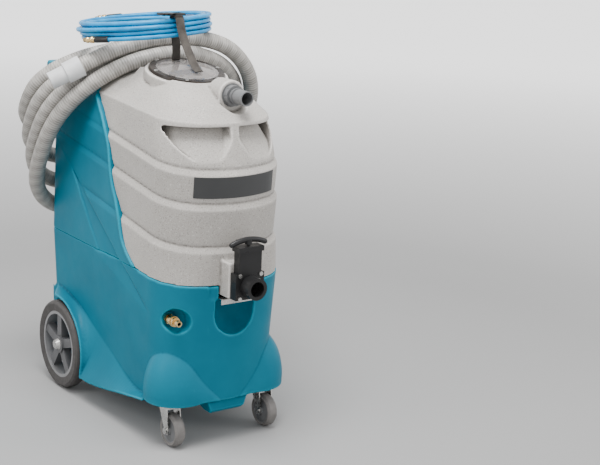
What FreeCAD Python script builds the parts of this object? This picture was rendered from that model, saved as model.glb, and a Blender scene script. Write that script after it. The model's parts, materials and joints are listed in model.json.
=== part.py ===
import FreeCAD, Part
import math
import os
from FreeCAD import Matrix, Placement, Rotation, Vector

# Portable carpet and spot extractor with a clamshell body, all sizes in mm.
# x runs to the right seen from the front, the front faces -y and the floor is z = 0.

# Body
overall_length = 852.0          # back of the rear handle to the mouth of the dump valve
handle_reach = 40.0             # how far the handle stands behind the rear wall
valve_reach = 91.0              # how far the dump valve stands in front of the nose
foot_set_back = 24.0            # how far the nose draws back at the bottom of the base
base_half_width = 186.0         # at the seam between the base and the tanks
foot_half_width = 167.0         # at the bottom of the base
seam_z = 450.0
seam_fall = 13.0                # how much lower the seam is at the nose
base_bottom_z = 46.0
caster_seat_z = 118.0
nose_radius = 300.0
corner_radius = 130.0
rear_corner_radius = 32.0
base_wall = 6.0
rim_width = 24.0
rim_thickness = 12.0
base_floor_z = 156.0
base_floor_thickness = 8.0
seam_gap = 0.3                  # air between the closed tanks and the base rim

# Wheels and casters
rear_wheel_diameter = 254.0
rear_wheel_outer_x = 219.0
rear_tyre_width = 42.0
rear_rim_radius = 97.0
rear_axle_inset = 113.0         # axle in front of the rear wall
axle_radius = 8.0
axle_play = 0.05
caster_wheel_diameter = 89.0
caster_wheel_width = 30.0
caster_half_track = 143.0
caster_set_back = 95.0          # swivel behind the nose
caster_trail = 25.0
caster_bolt_radius = 4.0
caster_plate_width = 64.0
caster_plate_length = 82.0
caster_plate_thickness = 3.0
caster_bolt_spacing_x = 44.0
caster_bolt_spacing_y = 62.0

# Tanks
tank_step_slope = math.radians(7.8)
tank_step_heights = (87.0, 198.0, 285.0)    # grooves at the nose above the seam, lowest first
tank_bevel_height = 398.0
tank_bevel_slope = math.radians(3.8)
grey_inset = 2.5                # the grey tank stands this much inside the turquoise edges
bay_height = 70.0               # roof of the motor bay above the seam
bay_inset = 30.0
lid_y = -60.0
lid_height = 500.0              # middle of the lid above the seam
lid_tilt = math.radians(11.4)
lid_radius = 83.0
lid_ring_radius = 102.0
lid_ring_thickness = 6.0
lid_seat_radius = 110.0
lid_screw_radius = 2.5
lid_screw_count = 6
lid_screw_circle = 93.0
inlet_x = 28.0
inlet_height = 458.0            # above the seam
inlet_set_back = 96.0           # face of its boss behind the nose
inlet_shank_radius = 19.5
inlet_tube_radius = 19.0        # takes the cuff of a 38 mm hose
inlet_tube_length = 40.0

# Dump valve
valve_rise = 10.0               # its bore above the lowest point of the seam
valve_port_length = 35.0
valve_width = 84.0
valve_height = 68.0
valve_thickness = 13.0          # of each half
valve_bore_radius = 18.0
outlet_socket_radius = 19.5     # mouth for the tail of a drain hose
outlet_socket_depth = 30.0

# Hinge
hinge_y_gap = 9.5               # pin behind the rear wall
hinge_drop = 1.0                # and below the seam
hinge_play = 0.05
hinge_pin_radius = 4.0
hinge_knuckle_radius = 9.0

# Solution outlet
coupler_x = -150.0
coupler_drop = 107.0            # below the seam
coupler_set_back = 93.0         # its seat behind the nose

# Vacuum motor and pump
vac_center_y = 0.0
vac_fan_radius = 66.0
vac_fan_height = 62.0
vac_can_radius = 47.0
vac_can_height = 88.0
pump_x = 20.0
pump_set_back = 180.0           # behind the nose
pump_height = 70.0              # above the base floor
pump_motor_radius = 52.0
pump_motor_length = 150.0

# Hoses and strap
vac_hose_radius = 22.5
solution_hose_radius = 6.0
strap_width = 25.0
strap_thickness = 2.0

# Clearances
slack = 0.3                     # air between pieces that move past each other
stem_play = 0.05
caster_play = 0.05
sleeve_play = 0.05

# Places that follow from the sizes above
X, Y, Z = Vector(1, 0, 0), Vector(0, 1, 0), Vector(0, 0, 1)
rear_y = overall_length / 2 - handle_reach
front_y = -overall_length / 2
nose_y = front_y + valve_reach
foot_nose_y = nose_y + foot_set_back
seam_nose_z = seam_z - seam_fall
seam_bend_y = nose_y + 193.0    # in front of here the seam slopes down to the nose
hinge_y = rear_y + hinge_y_gap
hinge_z = seam_z - hinge_drop
rear_axle_y = rear_y - rear_axle_inset
rear_axle_z = rear_wheel_diameter / 2
caster_y = nose_y + caster_set_back
tank_step_z = [seam_z + height for height in tank_step_heights]
tank_bevel_z = seam_z + tank_bevel_height
bay_roof_z = seam_z + bay_height
lid_center = Vector(0, lid_y, seam_z + lid_height)
inlet_face_y = nose_y + inlet_set_back
inlet_z = seam_z + inlet_height
valve_z = seam_nose_z + valve_rise
valve_front_y = front_y + valve_port_length
coupler_z = seam_z - coupler_drop
coupler_seat_y = nose_y + coupler_set_back
pump_center = Vector(pump_x, nose_y + pump_set_back, base_floor_z + pump_height)


def box(x0, x1, y0, y1, z0, z1):
    return Part.makeBox(x1 - x0, y1 - y0, z1 - z0, Vector(x0, y0, z0))


def rod(radius, start, axis, length):
    return Part.makeCylinder(radius, length, start, axis)


def tube(outer, inner, start, axis, length):
    return rod(outer, start, axis, length).cut(rod(inner, start, axis, length))


def polygon(points):
    return Part.makePolygon(list(points) + [points[0]])


def extrude(points, vector):
    return Part.Face(polygon(points)).extrude(vector)


def side_profile(points, half_width=400.0):
    """Extrudes a (y, z) outline across the machine."""
    return extrude([Vector(-half_width, y, z) for y, z in points], Vector(2 * half_width, 0, 0))


def revolve(points, base, axis, angle=360.0):
    return Part.Face(polygon(points)).revolve(base, axis, angle)


def lathe(profile, base, axis, turn):
    """Revolves (radius, height) points about an axis that starts at base."""
    points = [base + turn * r + axis * h for r, h in profile]
    return revolve(points, base, axis)


def fuse(shapes):
    shapes = list(shapes)
    return shapes[0].multiFuse(shapes[1:]).removeSplitter() if len(shapes) > 1 else shapes[0]


def mirror_x(shape):
    return shape.mirror(Vector(0, 0, 0), X)


def save(name, shape):
    shape.exportStep("parts/" + name + ".step")
    print(name, len(shape.Solids), round(shape.Volume / 1000, 1), shape.isValid())


def hull_wire(half_width, front, z, inset=0.0, slope=0.0):
    """Plan outline of the machine: a bowed nose, round corners and a flat rear wall."""
    width = half_width - inset
    nose = front + inset
    rear = rear_y - inset
    bow = nose_radius - inset
    corner = min(corner_radius, 0.79 * half_width) - inset
    back = rear_corner_radius - inset
    bow_y = nose + bow
    corner_x = width - corner
    corner_y = bow_y - math.sqrt((bow - corner) ** 2 - corner_x ** 2)
    ratio = bow / (bow - corner)
    touch = Vector(corner_x * ratio, bow_y + (corner_y - bow_y) * ratio, 0)
    turn = math.atan2(corner_y - bow_y, corner_x) / 2
    middle = Vector(corner_x + corner * math.cos(turn), corner_y + corner * math.sin(turn), 0)
    side = Vector(width, corner_y, 0)
    back_side = Vector(width, rear - back, 0)
    back_middle = Vector(width - back + back * math.sqrt(0.5), rear - back + back * math.sqrt(0.5), 0)
    back_end = Vector(width - back, rear, 0)

    def other(point):
        return Vector(-point.x, point.y, 0)

    edges = [
        Part.Arc(other(touch), Vector(0, nose, 0), touch).toShape(),
        Part.Arc(touch, middle, side).toShape(),
        Part.makeLine(side, back_side),
        Part.Arc(back_side, back_middle, back_end).toShape(),
        Part.makeLine(back_end, other(back_end)),
        Part.Arc(other(back_end), other(back_middle), other(back_side)).toShape(),
        Part.makeLine(other(back_side), other(side)),
        Part.Arc(other(side), other(middle), other(touch)).toShape(),
    ]
    wire = Part.Wire(edges)
    if slope:
        wire.rotate(Vector(0, front, 0), X, math.degrees(slope))
    wire.translate(Vector(0, 0, z))
    return wire


def hull_loft(sections):
    return Part.makeLoft([hull_wire(*section) for section in sections], True, True)


# Base housing

def base_section(z, inset=0.0):
    share = (z - base_bottom_z) / (seam_z - base_bottom_z)
    half_width = foot_half_width + (base_half_width - foot_half_width) * share
    return half_width, foot_nose_y + (nose_y - foot_nose_y) * share, z, inset


def seam_points(offset):
    """The side view of the seam, from behind the machine to in front of it."""
    fall = (seam_z - seam_nose_z) / (seam_bend_y - nose_y)
    ahead = front_y - 60
    return [
        (rear_y + 60, seam_z + offset),
        (seam_bend_y, seam_z + offset),
        (ahead, seam_z + offset - fall * (seam_bend_y - ahead)),
    ]


def above_seam(offset, top=1200.0):
    return side_profile(seam_points(offset) + [(front_y - 60, top), (rear_y + 60, top)])


def below_seam(offset, bottom=-50.0):
    return side_profile(seam_points(offset) + [(front_y - 60, bottom), (rear_y + 60, bottom)])


foot_x = 118.0
foot_y = caster_y + 8.0
foot_radius = 84.0
foot_shoulder_z = 140.0
foot_crown_z = 262.0


def foot(side):
    """Rounded fender over one caster."""
    base = Vector(side * foot_x, foot_y, 0)
    low, high = Vector(foot_radius, 0, base_bottom_z), Vector(foot_radius, 0, foot_shoulder_z)
    crown = Vector(0, 0, foot_crown_z)
    mid = Vector(foot_radius * 0.77, 0, foot_shoulder_z + (foot_crown_z - foot_shoulder_z) * 0.58)
    edges = [
        Part.makeLine(Vector(0, 0, base_bottom_z), low),
        Part.makeLine(low, high),
        Part.Arc(high, mid, crown).toShape(),
        Part.makeLine(crown, Vector(0, 0, base_bottom_z)),
    ]
    dome = Part.Face(Part.Wire(edges)).revolve(Vector(0, 0, 0), Z, 360)
    dome.translate(base)
    return dome


skid_half_width = 62.0
skid_bottom_z = 79.0
skid_front_y = foot_nose_y + 8.0
skid_back_y = skid_front_y + 103.0


def skid():
    """Tongue under the nose that rides over a step."""
    low = skid_half_width * 0.78
    shape = extrude([
        Vector(-skid_half_width, skid_front_y, caster_seat_z + 12),
        Vector(-skid_half_width, skid_front_y, caster_seat_z),
        Vector(-low, skid_front_y, skid_bottom_z),
        Vector(low, skid_front_y, skid_bottom_z),
        Vector(skid_half_width, skid_front_y, caster_seat_z),
        Vector(skid_half_width, skid_front_y, caster_seat_z + 12),
    ], Vector(0, skid_back_y - skid_front_y, 0))
    slope = side_profile([
        (skid_front_y - 1, skid_bottom_z + 12), (skid_front_y + 12, skid_bottom_z - 1),
        (skid_front_y - 1, skid_bottom_z - 1),
    ])
    ramp = side_profile([
        (skid_back_y - 60, skid_bottom_z - 1), (skid_back_y + 1, caster_seat_z),
        (skid_back_y + 1, skid_bottom_z - 1),
    ])
    return shape.cut(slope).cut(ramp)


notch_half_width = 78.0
notch_back_y = nose_y + 53.0
notch_floor_z = seam_nose_z - 34.0
pocket_radius = 58.0
pocket_y = nose_y + 13.0
pocket_bottom_z = notch_floor_z - 45.0      # centre of its round bottom
nose_block_half_width = 92.0
nose_block_back_y = nose_y + 81.0
nose_block_bottom_z = notch_floor_z - 117.0
shelf_front_y = rear_y - 81.0
exhaust_center = Vector(128, rear_y, seam_z - 78.0)
exhaust_bore_radius = 23.0
exhaust_bore_length = 30.0
exhaust_collar_radius = 29.0
dish_radius = 34.0
dish_depth = 30.0
coupler_hole_radius = 9.0
nut_flat_radius = 15.0

# Sides: a shallow valley runs from the rear edge down to the caster domes, and a flare hoods the wheel
valley_lower = [(rear_y + 14, seam_z + 242), (-58 + 158, seam_z - 7), (-95.0, seam_z - 270)]
valley_upper = [(rear_y + 14, seam_z + 299), (-58.0, seam_z - 8), (-215.0, seam_z - 113)]
valley_depths = (0.8, 6.0, 0.3)
flare_top = [(rear_y + 14, 281.0), (rear_y - 151, 262.0), (rear_y - 264, 220.0), (14.0, 170.0), (-90.0,
                                                                                                 111.0)]
flare_reaches = (9.0, 12.0, 10.0, 6.0, 2.5)
flare_bottom_z = 40.0


def side_x(z):
    """Half width of the base or of the tank above it."""
    return base_section(z)[0] if z < seam_z else along(tank_half_widths, z)


def side_loft(side, sections, shift=0.0):
    """Flat faced solid along one side through triangles of (distance from the middle, y, z)."""
    rings = [[Vector(side * (x - shift), y, z) for x, y, z in corners] for corners in sections]
    faces = [Part.Face(polygon(rings[0])), Part.Face(polygon(rings[-1]))]
    for near, far in zip(rings, rings[1:]):
        for i in range(3):
            j = (i + 1) % 3
            faces.append(Part.Face(polygon([near[i], near[j], far[j]])))
            faces.append(Part.Face(polygon([near[i], far[j], far[i]])))
    solid = Part.makeSolid(Part.makeShell(faces))
    if solid.Volume < 0:
        solid.reverse()
    return solid


def side_valley(side, shift=0.0):
    sections = []
    for (y0, z0), (y1, z1), depth in zip(valley_lower, valley_upper, valley_depths):
        sections.append([(side_x(z0) + 0.4, y0, z0), (side_x(z1) - depth, y1, z1),
                         (side_x(z1) + 3, y1 - 4, z1 + 5)])
    return side_loft(side, sections, shift)


def wheel_flare(side):
    sections = []
    for (y, z), reach in zip(flare_top, flare_reaches):
        sections.append([(side_x(z) - 0.5, y, z), (side_x(flare_bottom_z) + reach, y, flare_bottom_z),
                         (side_x(flare_bottom_z) - 8, y, flare_bottom_z)])
    return side_loft(side, sections)


def coupler_seat():
    """Boss behind the dish, so the wall stays closed round the outlet."""
    return rod(dish_radius + 5, Vector(coupler_x, coupler_seat_y - dish_depth - 40, coupler_z), Y,
               dish_depth + 40 + base_wall)


def coupler_dish():
    """Round dish in the front left corner, wider at its mouth."""
    base = Vector(coupler_x, coupler_seat_y, coupler_z)
    return lathe([(0, 0), (nut_flat_radius + 4, 0), (dish_radius, dish_depth), (dish_radius, 120), (0, 120)],
                 base, -Y, X)


def caster_center(side):
    return Vector(side * caster_half_track, caster_y, 0)


def caster_bolt_points(side):
    center = caster_center(side)
    dx, dy = caster_bolt_spacing_x / 2, caster_bolt_spacing_y / 2
    return [center + Vector(sx * dx, sy * dy, 0) for sx in (-1, 1) for sy in (-1, 1)]


def base_housing():
    outer = hull_loft([base_section(base_bottom_z - 16), base_section(seam_z)])
    flares = [wheel_flare(side).common(box(-300, 300, front_y, rear_y, 0, seam_z)) for side in (-1, 1)]
    outer = outer.fuse([foot(-1), foot(1)] + flares).cut(side_valley(-1)).cut(side_valley(1))
    underside = side_profile([
        (rear_y + 20, 118.0), (rear_y - 58, base_bottom_z), (rear_axle_y - 100, base_bottom_z),
        (caster_y + 62, caster_seat_z - 11), (caster_y + 42, caster_seat_z), (front_y - 60, caster_seat_z),
        (front_y - 60, -20), (rear_y + 20, -20),
    ])
    outer = outer.cut(underside).cut(above_seam(0))

    front_block = box(-nose_block_half_width, nose_block_half_width, front_y, nose_block_back_y,
                      nose_block_bottom_z, seam_z + 10)
    pads = [box(side * caster_half_track - 42, side * caster_half_track + 42, caster_y - 60, caster_y + 52,
                caster_seat_z, base_floor_z) for side in (-1, 1)]
    axle_blocks = [box(min(side * 132, side * 172), max(side * 132, side * 172), rear_axle_y - 22,
                       rear_axle_y + 22, rear_axle_z - 22, base_floor_z) for side in (-1, 1)]

    upper = hull_loft([base_section(base_floor_z, base_wall), base_section(seam_z, base_wall)])
    upper = upper.common(below_seam(-rim_thickness))
    mouth = hull_loft([base_section(base_floor_z, rim_width), base_section(seam_z + 5, rim_width)])
    mouth = mouth.cut(box(-400, 400, shelf_front_y, rear_y + 50, 0, 600))
    room = upper.fuse(mouth).cut(fuse([front_block, coupler_seat()]))
    for side in (-1, 1):
        room = room.cut(side_valley(side, base_wall))
    floor_bottom = base_floor_z - base_floor_thickness
    lower = hull_loft([base_section(base_bottom_z - 16, base_wall), base_section(floor_bottom, base_wall)])
    lower = lower.cut(pads[0]).cut(pads[1]).cut(axle_blocks[0]).cut(axle_blocks[1])
    shell = outer.cut(room).cut(lower)

    pocket_height = notch_floor_z + 1 - pocket_bottom_z
    pocket = rod(pocket_radius, Vector(0, pocket_y, pocket_bottom_z), Z, pocket_height)
    pocket = pocket.fuse(Part.makeSphere(pocket_radius, Vector(0, pocket_y, pocket_bottom_z)))
    notch = box(-notch_half_width, notch_half_width, front_y, notch_back_y, notch_floor_z, seam_z + 10)
    arches = [rod(rear_wheel_diameter / 2 + 9, Vector(side * (rear_wheel_outer_x - rear_tyre_width - 5.5),
                  rear_axle_y, rear_axle_z), X * side, 60) for side in (-1, 1)]
    axle_hole = rod(axle_radius, Vector(-250, rear_axle_y, rear_axle_z), X, 500)
    bolt_holes = [rod(caster_bolt_radius, point + Z * (caster_seat_z - 1), Z, base_floor_thickness + 60)
                  for side in (-1, 1) for point in caster_bolt_points(side)]
    coupler_hole = rod(coupler_hole_radius, Vector(coupler_x, coupler_seat_y - 1, coupler_z), Y, 60)
    exhaust = rod(exhaust_bore_radius, exhaust_center - Y * (exhaust_bore_length + 10), Y, 60)
    collar = rod(exhaust_collar_radius, exhaust_center - Y * exhaust_bore_length, Y, exhaust_bore_length - 2)

    ribs = rim_pocket()
    shell = shell.fuse([collar, ribs, skid()] + base_knuckles())
    holes = [pocket, notch, axle_hole, coupler_hole, exhaust, coupler_dish()] + arches + bolt_holes
    for cutter in holes + switch_cutouts():
        shell = shell.cut(cutter)
    return shell


rim_pocket_x = 104.0
rim_pocket_front_y = rear_y - 200
rim_pocket_depth = 55.0


def rim_pocket():
    """Rib that holds the exhaust hose against the right wall."""
    top = seam_z
    low = top - rim_pocket_depth
    side_wall = box(rim_pocket_x, rim_pocket_x + base_wall, rim_pocket_front_y, shelf_front_y + 1, low, top)
    bridge = box(rim_pocket_x, base_half_width - rim_width + 2, rim_pocket_front_y,
                 rim_pocket_front_y + 10, top - 14, top)
    return side_wall.fuse(bridge)


# Hinge: base knuckles at the sides and in the middle, tank knuckles between them

base_knuckle_spans = [(-120.0, -100.0), (-34.0, 34.0), (100.0, 120.0)]
tank_knuckle_spans = [(-99.0, -35.0), (35.0, 99.0)]


def knuckle(span, arm_low, arm_high):
    x0, x1 = span
    barrel = rod(hinge_knuckle_radius, Vector(x0, hinge_y, hinge_z), X, x1 - x0)
    arm = box(x0, x1, rear_y - 8, hinge_y, arm_low, arm_high)
    return barrel.fuse(arm)


def base_knuckles():
    low = hinge_z - hinge_knuckle_radius
    bore = rod(hinge_pin_radius, Vector(-200, hinge_y, hinge_z), X, 400)
    return [knuckle(span, low - 8, hinge_z - 2).cut(bore) for span in base_knuckle_spans]


switch_z = seam_z - 120.0
switch_x = (-96.0, -60.0)
switch_width = 22.0
switch_height = 30.0
inlet_socket_x = -20.0
inlet_socket_width = 28.0
inlet_socket_height = 22.0


def switch_cutouts():
    """Windows in the rear wall for two rocker switches and the power inlet."""
    back = rear_y - 20
    windows = [box(x - switch_width / 2, x + switch_width / 2, back, rear_y + 5, switch_z - switch_height / 2,
                   switch_z + switch_height / 2) for x in switch_x]
    windows.append(box(inlet_socket_x - inlet_socket_width / 2, inlet_socket_x + inlet_socket_width / 2, back,
                       rear_y + 5, switch_z - inlet_socket_height / 2, switch_z + inlet_socket_height / 2))
    return windows


# Tanks: one stepped body, split along a slanted line into the solution and the recovery tank

tank_half_widths = [(seam_nose_z - 20, base_half_width + 1), (seam_z + 90, base_half_width - 2),
                    (seam_z + 200, base_half_width - 4), (seam_z + 285, base_half_width - 6),
                    (tank_bevel_z, base_half_width - 21)]
tank_nose_ys = [(seam_nose_z - 20, nose_y - 1), (seam_z + 90, nose_y + 4), (seam_z + 200, nose_y + 2),
                (seam_z + 285, nose_y + 4), (tank_bevel_z, nose_y + 35)]
ledge_height = 16.0             # bevel under each groove
groove_height = 4.0
grey_groove_depth = 10.0
side_groove_depth = 5.0         # on the turquoise tank, where they run out at the valley
dome_sections = [(seam_z + 430, 132.0, nose_y + 70), (seam_z + 485, 85.0, -173.0), (seam_z + 535, 60.0,
                                                                                    -130.0)]
top_outline = [(nose_y + 35, seam_z + 424), (nose_y + 82, seam_z + 444), (-170.0, seam_z + 478),
               (-70.0, seam_z + 493), (60.0, seam_z + 499), (rear_y + 44, seam_z + 499)]
split_outline = [(-152.0, seam_z - 10), (-97.0, seam_z + 20), (-57.0, seam_z + 60), (-39.0, seam_z + 110),
                 (-14.0, seam_z + 158), (11.0, seam_z + 206), (30.0, seam_z + 283), (53.0, seam_z + 335),
                 (125.0, seam_z + 424), (180.0, seam_z + 550)]
tank_gap = 0.2                  # between the two tanks
saddle_front_y = 46.0
saddle_drops = [(0.0, 1.0), (23.0, 1.4), (48.0, 7.6), (75.0, 16.0), (88.0, 22.0), (101.0, 28.0), (125.0,
                                                                                                  41.0),
                (150.0, 57.0)]  # half width and drop below the middle of the lid
lid_axis = Vector(0, -math.sin(lid_tilt), math.cos(lid_tilt))
lid_turn = Vector(0, math.cos(lid_tilt), math.sin(lid_tilt))


def along(table, z):
    """Reads a value from a table of (z, value) pairs."""
    for (z0, v0), (z1, v1) in zip(table, table[1:]):
        if z <= z1:
            return v0 + (v1 - v0) * (z - z0) / (z1 - z0)
    return table[-1][1]


def tank_section(z, inset=0.0, slope=tank_step_slope):
    return along(tank_half_widths, z), along(tank_nose_ys, z), z, inset, slope


def tank_body(groove_depth, inset=0.0):
    """Both tanks as one solid, closed below by the seam and above by the top."""
    sections = [tank_section(seam_nose_z - 15, inset, 0.0)]
    for z in tank_step_z:
        if groove_depth:
            sections.append(tank_section(z - ledge_height, inset))
            sections.append(tank_section(z, inset + groove_depth))
            sections.append(tank_section(z + groove_height, inset + 0.6 * groove_depth))
        else:
            sections.append(tank_section(z, inset))
    sections.append(tank_section(tank_bevel_z, inset, tank_bevel_slope))
    for z, half_width, front in dome_sections:
        sections.append((half_width, front, z, inset, tank_bevel_slope))
    return hull_loft(sections).cut(over_top()).cut(saddle()).common(above_seam(seam_gap))


def ahead_of_valley():
    """Side view region in front of and above the valley's upper edge."""
    ends = [(rear_y + 60, valley_upper[0][1] + 31), (front_y, valley_upper[1][1] - 246)]
    return side_profile(ends + [(front_y, seam_z + 700), (rear_y + 60, seam_z + 700)])


def turquoise_body():
    """Plain behind the valley and softly stepped ahead of it."""
    ahead = ahead_of_valley()
    plain = tank_body(0.0).cut(side_valley(-1)).cut(side_valley(1))
    return tank_body(side_groove_depth).common(ahead).fuse(plain.cut(ahead))


def spline(points):
    curve = Part.BSplineCurve()
    curve.interpolate([Vector(0, y, z) for y, z in points])
    return curve.toShape()


def outline_prism(edge_points, corner_points, half_width=300.0):
    """Region on one side of a smooth side-view curve, closed by straight lines."""
    curve = spline(edge_points)
    start, end = [Vector(0, *edge_points[0]), Vector(0, *edge_points[-1])]
    rest = Part.makePolygon([end] + [Vector(0, y, z) for y, z in corner_points] + [start])
    face = Part.Face(Part.Wire([curve] + rest.Edges))
    face.translate(Vector(-half_width, 0, 0))
    return face.extrude(Vector(2 * half_width, 0, 0))


def behind_split(offset=0.0):
    points = [(y + offset, z) for y, z in split_outline]
    return outline_prism(points, [(rear_y + 100, split_outline[-1][1]), (rear_y + 100, split_outline[0][1])])


def over_top():
    front, back, high = top_outline[0][0] - 60, top_outline[-1][0], seam_z + 750
    return outline_prism(top_outline, [(back, high), (front, high), (front, top_outline[0][1] - 24)])


def saddle():
    """Rounds the shoulders behind the lid, where the hose loops lie across them."""
    right = [Vector(x, saddle_front_y, lid_center.z - drop) for x, drop in saddle_drops]
    left = [Vector(-point.x, point.y, point.z) for point in right[:0:-1]]
    curve = Part.BSplineCurve()
    curve.interpolate(left + right)
    high = lid_center.z + 100
    ends = [right[-1], Vector(right[-1].x, saddle_front_y, high), Vector(left[0].x, saddle_front_y, high),
            left[0]]
    outline = Part.Wire([curve.toShape()] + Part.makePolygon(ends).Edges)
    return Part.Face(outline).extrude(Y * (rear_y + 1 - saddle_front_y))


def motor_bay():
    return hull_loft([base_section(seam_nose_z - 20, bay_inset), (base_half_width, nose_y, bay_roof_z,
                                                                  bay_inset)])


sump_half_width = 62.0
sump_front_y = valve_front_y + 2 * valve_thickness
sump_back_y = nose_y + 44
sump_bottom_z = valve_z - 35.0
sump_top_z = valve_z + 58.0
cavity_wall = 12.0


def sump(top, inset=0.0):
    """Low front part of the recovery tank that the dump valve is bolted to."""
    width = sump_half_width - inset
    return box(-width, width, sump_front_y + inset, sump_back_y - inset, sump_bottom_z + inset, top)


def lid_rod(radius, low, high):
    """Cylinder on the lid's axis, heights measured from the lid plane."""
    return rod(radius, lid_center + lid_axis * low, lid_axis, high - low)


# Hand recesses: half width and drop below the bevel, from the outer tip down and in to the middle rib
wing_arc = [(158.0, 12.0), (145.0, 52.0), (118.0, 84.0), (82.0, 103.0), (44.0, 108.0), (12.0, 104.0)]
wing_top_drop = 10.0
wing_depth = 40.0
wing_low_z = tank_bevel_z - 112.0
wing_high_z = tank_bevel_z - 6.0


def wing_core(inset=0.0):
    """The body behind the hand recesses, drawn in by their depth towards the top."""
    sections = [tank_section(seam_z + 50, inset, 0.0), tank_section(wing_low_z, inset, 0.0)]
    sections.append(tank_section(wing_high_z, inset + wing_depth, 0.0))
    half_width, front, z, depth, slope = sections[-1]
    sections.append((half_width, front, z + 40, depth, slope))
    return hull_loft(sections)


def wing(side):
    """Hand recess under the bevel: deep at the top edge and running out below."""
    arc = [Vector(side * x, front_y, tank_bevel_z - drop) for x, drop in wing_arc]
    curve = Part.BSplineCurve()
    curve.interpolate(arc)
    top_z = tank_bevel_z - wing_top_drop
    corners = [arc[-1], Vector(arc[-1].x, front_y, top_z), Vector(arc[0].x, front_y, top_z), arc[0]]
    outline = Part.Wire([curve.toShape()] + Part.makePolygon(corners).Edges)
    return Part.Face(outline).extrude(Y * 330).cut(wing_core())


recovery_cavity_outline = [(nose_y + 15, seam_z + 82), (-90.0, seam_z + 82), (-45.0, seam_z + 190),
                           (-10.0, seam_z + 290), (12.0, seam_z + 340), (72.0, seam_z + 404),
                           (nose_y + 15, seam_z + 404)]
solution_cavity_outline = [(-15.0, seam_z + 85), (30.0, seam_z + 190), (50.0, seam_z + 285), (72.0,
                                                                                              seam_z + 340),
                           (140.0, seam_z + 415), (rear_y - 14, seam_z + 415), (rear_y - 14, seam_z + 85)]
inlet_boss_radius = 38.0
inlet_boss_length = 60.0
inlet_dish_radius = 44.0        # where the slope stands in front of the boss
lid_recess_play = 1.5
inlet_seat_depth = 3.0
badge_half_width = 117.0
badge_low_z = seam_z + 212
badge_high_z = seam_z + 266
badge_thickness = 1.6
riser_half_width = 28.0         # channel from the tank's floor down to the sump


def recovery_tank(grey_body):
    tank = grey_body.cut(behind_split(-tank_gap)).cut(motor_bay())
    boss = rod(inlet_boss_radius, Vector(inlet_x, inlet_face_y, inlet_z), Y, inlet_boss_length)
    seat_ring = lid_rod(lid_seat_radius, -30, -lid_ring_thickness)
    tank = tank.fuse([boss, seat_ring, sump(sump_top_z)])
    room = wing_core(cavity_wall + 4).common(side_profile(recovery_cavity_outline, 300.0))
    throat = lid_rod(lid_radius - 6, -150, 20)
    riser = box(-riser_half_width, riser_half_width, nose_y + cavity_wall + 4, sump_back_y - cavity_wall,
                sump_bottom_z + cavity_wall, bay_roof_z + cavity_wall + 0.5)
    outlet = sump(sump_top_z - cavity_wall, cavity_wall).fuse(riser)
    cutters = [
        room, throat, outlet, wing(-1), wing(1),
        lid_rod(lid_ring_radius + lid_recess_play, -lid_ring_thickness, 60),
        rod(inlet_dish_radius, Vector(inlet_x, inlet_face_y, inlet_z), -Y, 60),
        rod(inlet_shank_radius + slack, Vector(inlet_x, inlet_face_y - 1, inlet_z), Y, 125),
        rod(inlet_boss_radius - 7, Vector(inlet_x, inlet_face_y - 1, inlet_z), Y, 1 + inlet_seat_depth),
        rod(valve_bore_radius, Vector(0, sump_front_y - 1, valve_z), Y, cavity_wall + 2),
        rod(standpipe_radius + slack, standpipe_center - Z * 5, Z, cavity_wall + 10),
    ]
    cutters += [rod(lid_screw_radius, point - lid_axis * 16, lid_axis, 30) for point in lid_screw_points()]
    cutters += [rod(valve_bolt_radius, Vector(x, sump_front_y - 1, z), Y, cavity_wall - 2)
                for x, z in valve_bolt_points()]
    for cutter in cutters:
        tank = tank.cut(cutter)
    return tank


handle_half_width = 176.0
handle_arm = 34.0
handle_low_z = seam_z + 418.0
handle_high_z = seam_z + 476.0


def rear_handle():
    """Grab bar across the top of the rear wall, moulded with the solution tank."""
    back = rear_y + handle_reach
    side = side_profile([
        (rear_y - 20, handle_low_z - 40), (rear_y, handle_low_z - 40), (back, handle_low_z + 6),
        (back, handle_high_z - 8), (back - 8, handle_high_z), (rear_y - 20, handle_high_z),
    ], handle_half_width)
    finger_slot = box(-handle_half_width + handle_arm, handle_half_width - handle_arm, rear_y, back - 20,
                      handle_low_z - 60, handle_high_z + 10)
    return side.cut(finger_slot)


def solution_tank():
    tank = turquoise_body().common(behind_split()).cut(motor_bay())
    arms = []
    for span in tank_knuckle_spans:
        arms.append(knuckle(span, hinge_z + 2.5, hinge_z + hinge_knuckle_radius + 10))
    bore = rod(hinge_pin_radius + hinge_play, Vector(-200, hinge_y, hinge_z), X, 400)
    tank = tank.fuse([rear_handle()] + arms)
    core = hull_loft([tank_section(seam_z + 50, cavity_wall + 4, 0.0),
                      tank_section(seam_z + 420, cavity_wall + 4, 0.0)])
    room = core.common(side_profile(solution_cavity_outline, 300.0))
    clearances = [rod(hinge_knuckle_radius + slack, Vector(x0 - slack, hinge_y, hinge_z), X,
                      x1 - x0 + 2 * slack)
                  for x0, x1 in base_knuckle_spans]
    for cutter in [bore, room] + clearances:
        tank = tank.cut(cutter)
    return tank


lid_thickness = 3.0
lid_rise = 9.0


def lid_screw_points():
    side = Vector(1, 0, 0)
    points = []
    for index in range(lid_screw_count):
        angle = math.radians(360 / lid_screw_count * index)
        spoke = side * math.cos(angle) + lid_turn * math.sin(angle)
        points.append(lid_center + spoke * lid_screw_circle)
    return points


def lid_lathe(profile):
    return lathe(profile, lid_center, lid_axis, X)


def lid_ring():
    low, top = -lid_ring_thickness, 2.0
    ring = lid_lathe([
        (lid_radius - 6, low), (lid_ring_radius - 2, low), (lid_ring_radius, low + 2),
        (lid_ring_radius - 3, top),
        (lid_radius + slack, top), (lid_radius + slack, -2.0), (lid_radius - 6, -2.0),
    ])
    for point in lid_screw_points():
        ring = ring.cut(rod(lid_screw_radius + 0.3, point - lid_axis * 20, lid_axis, 40))
    return ring


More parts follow.
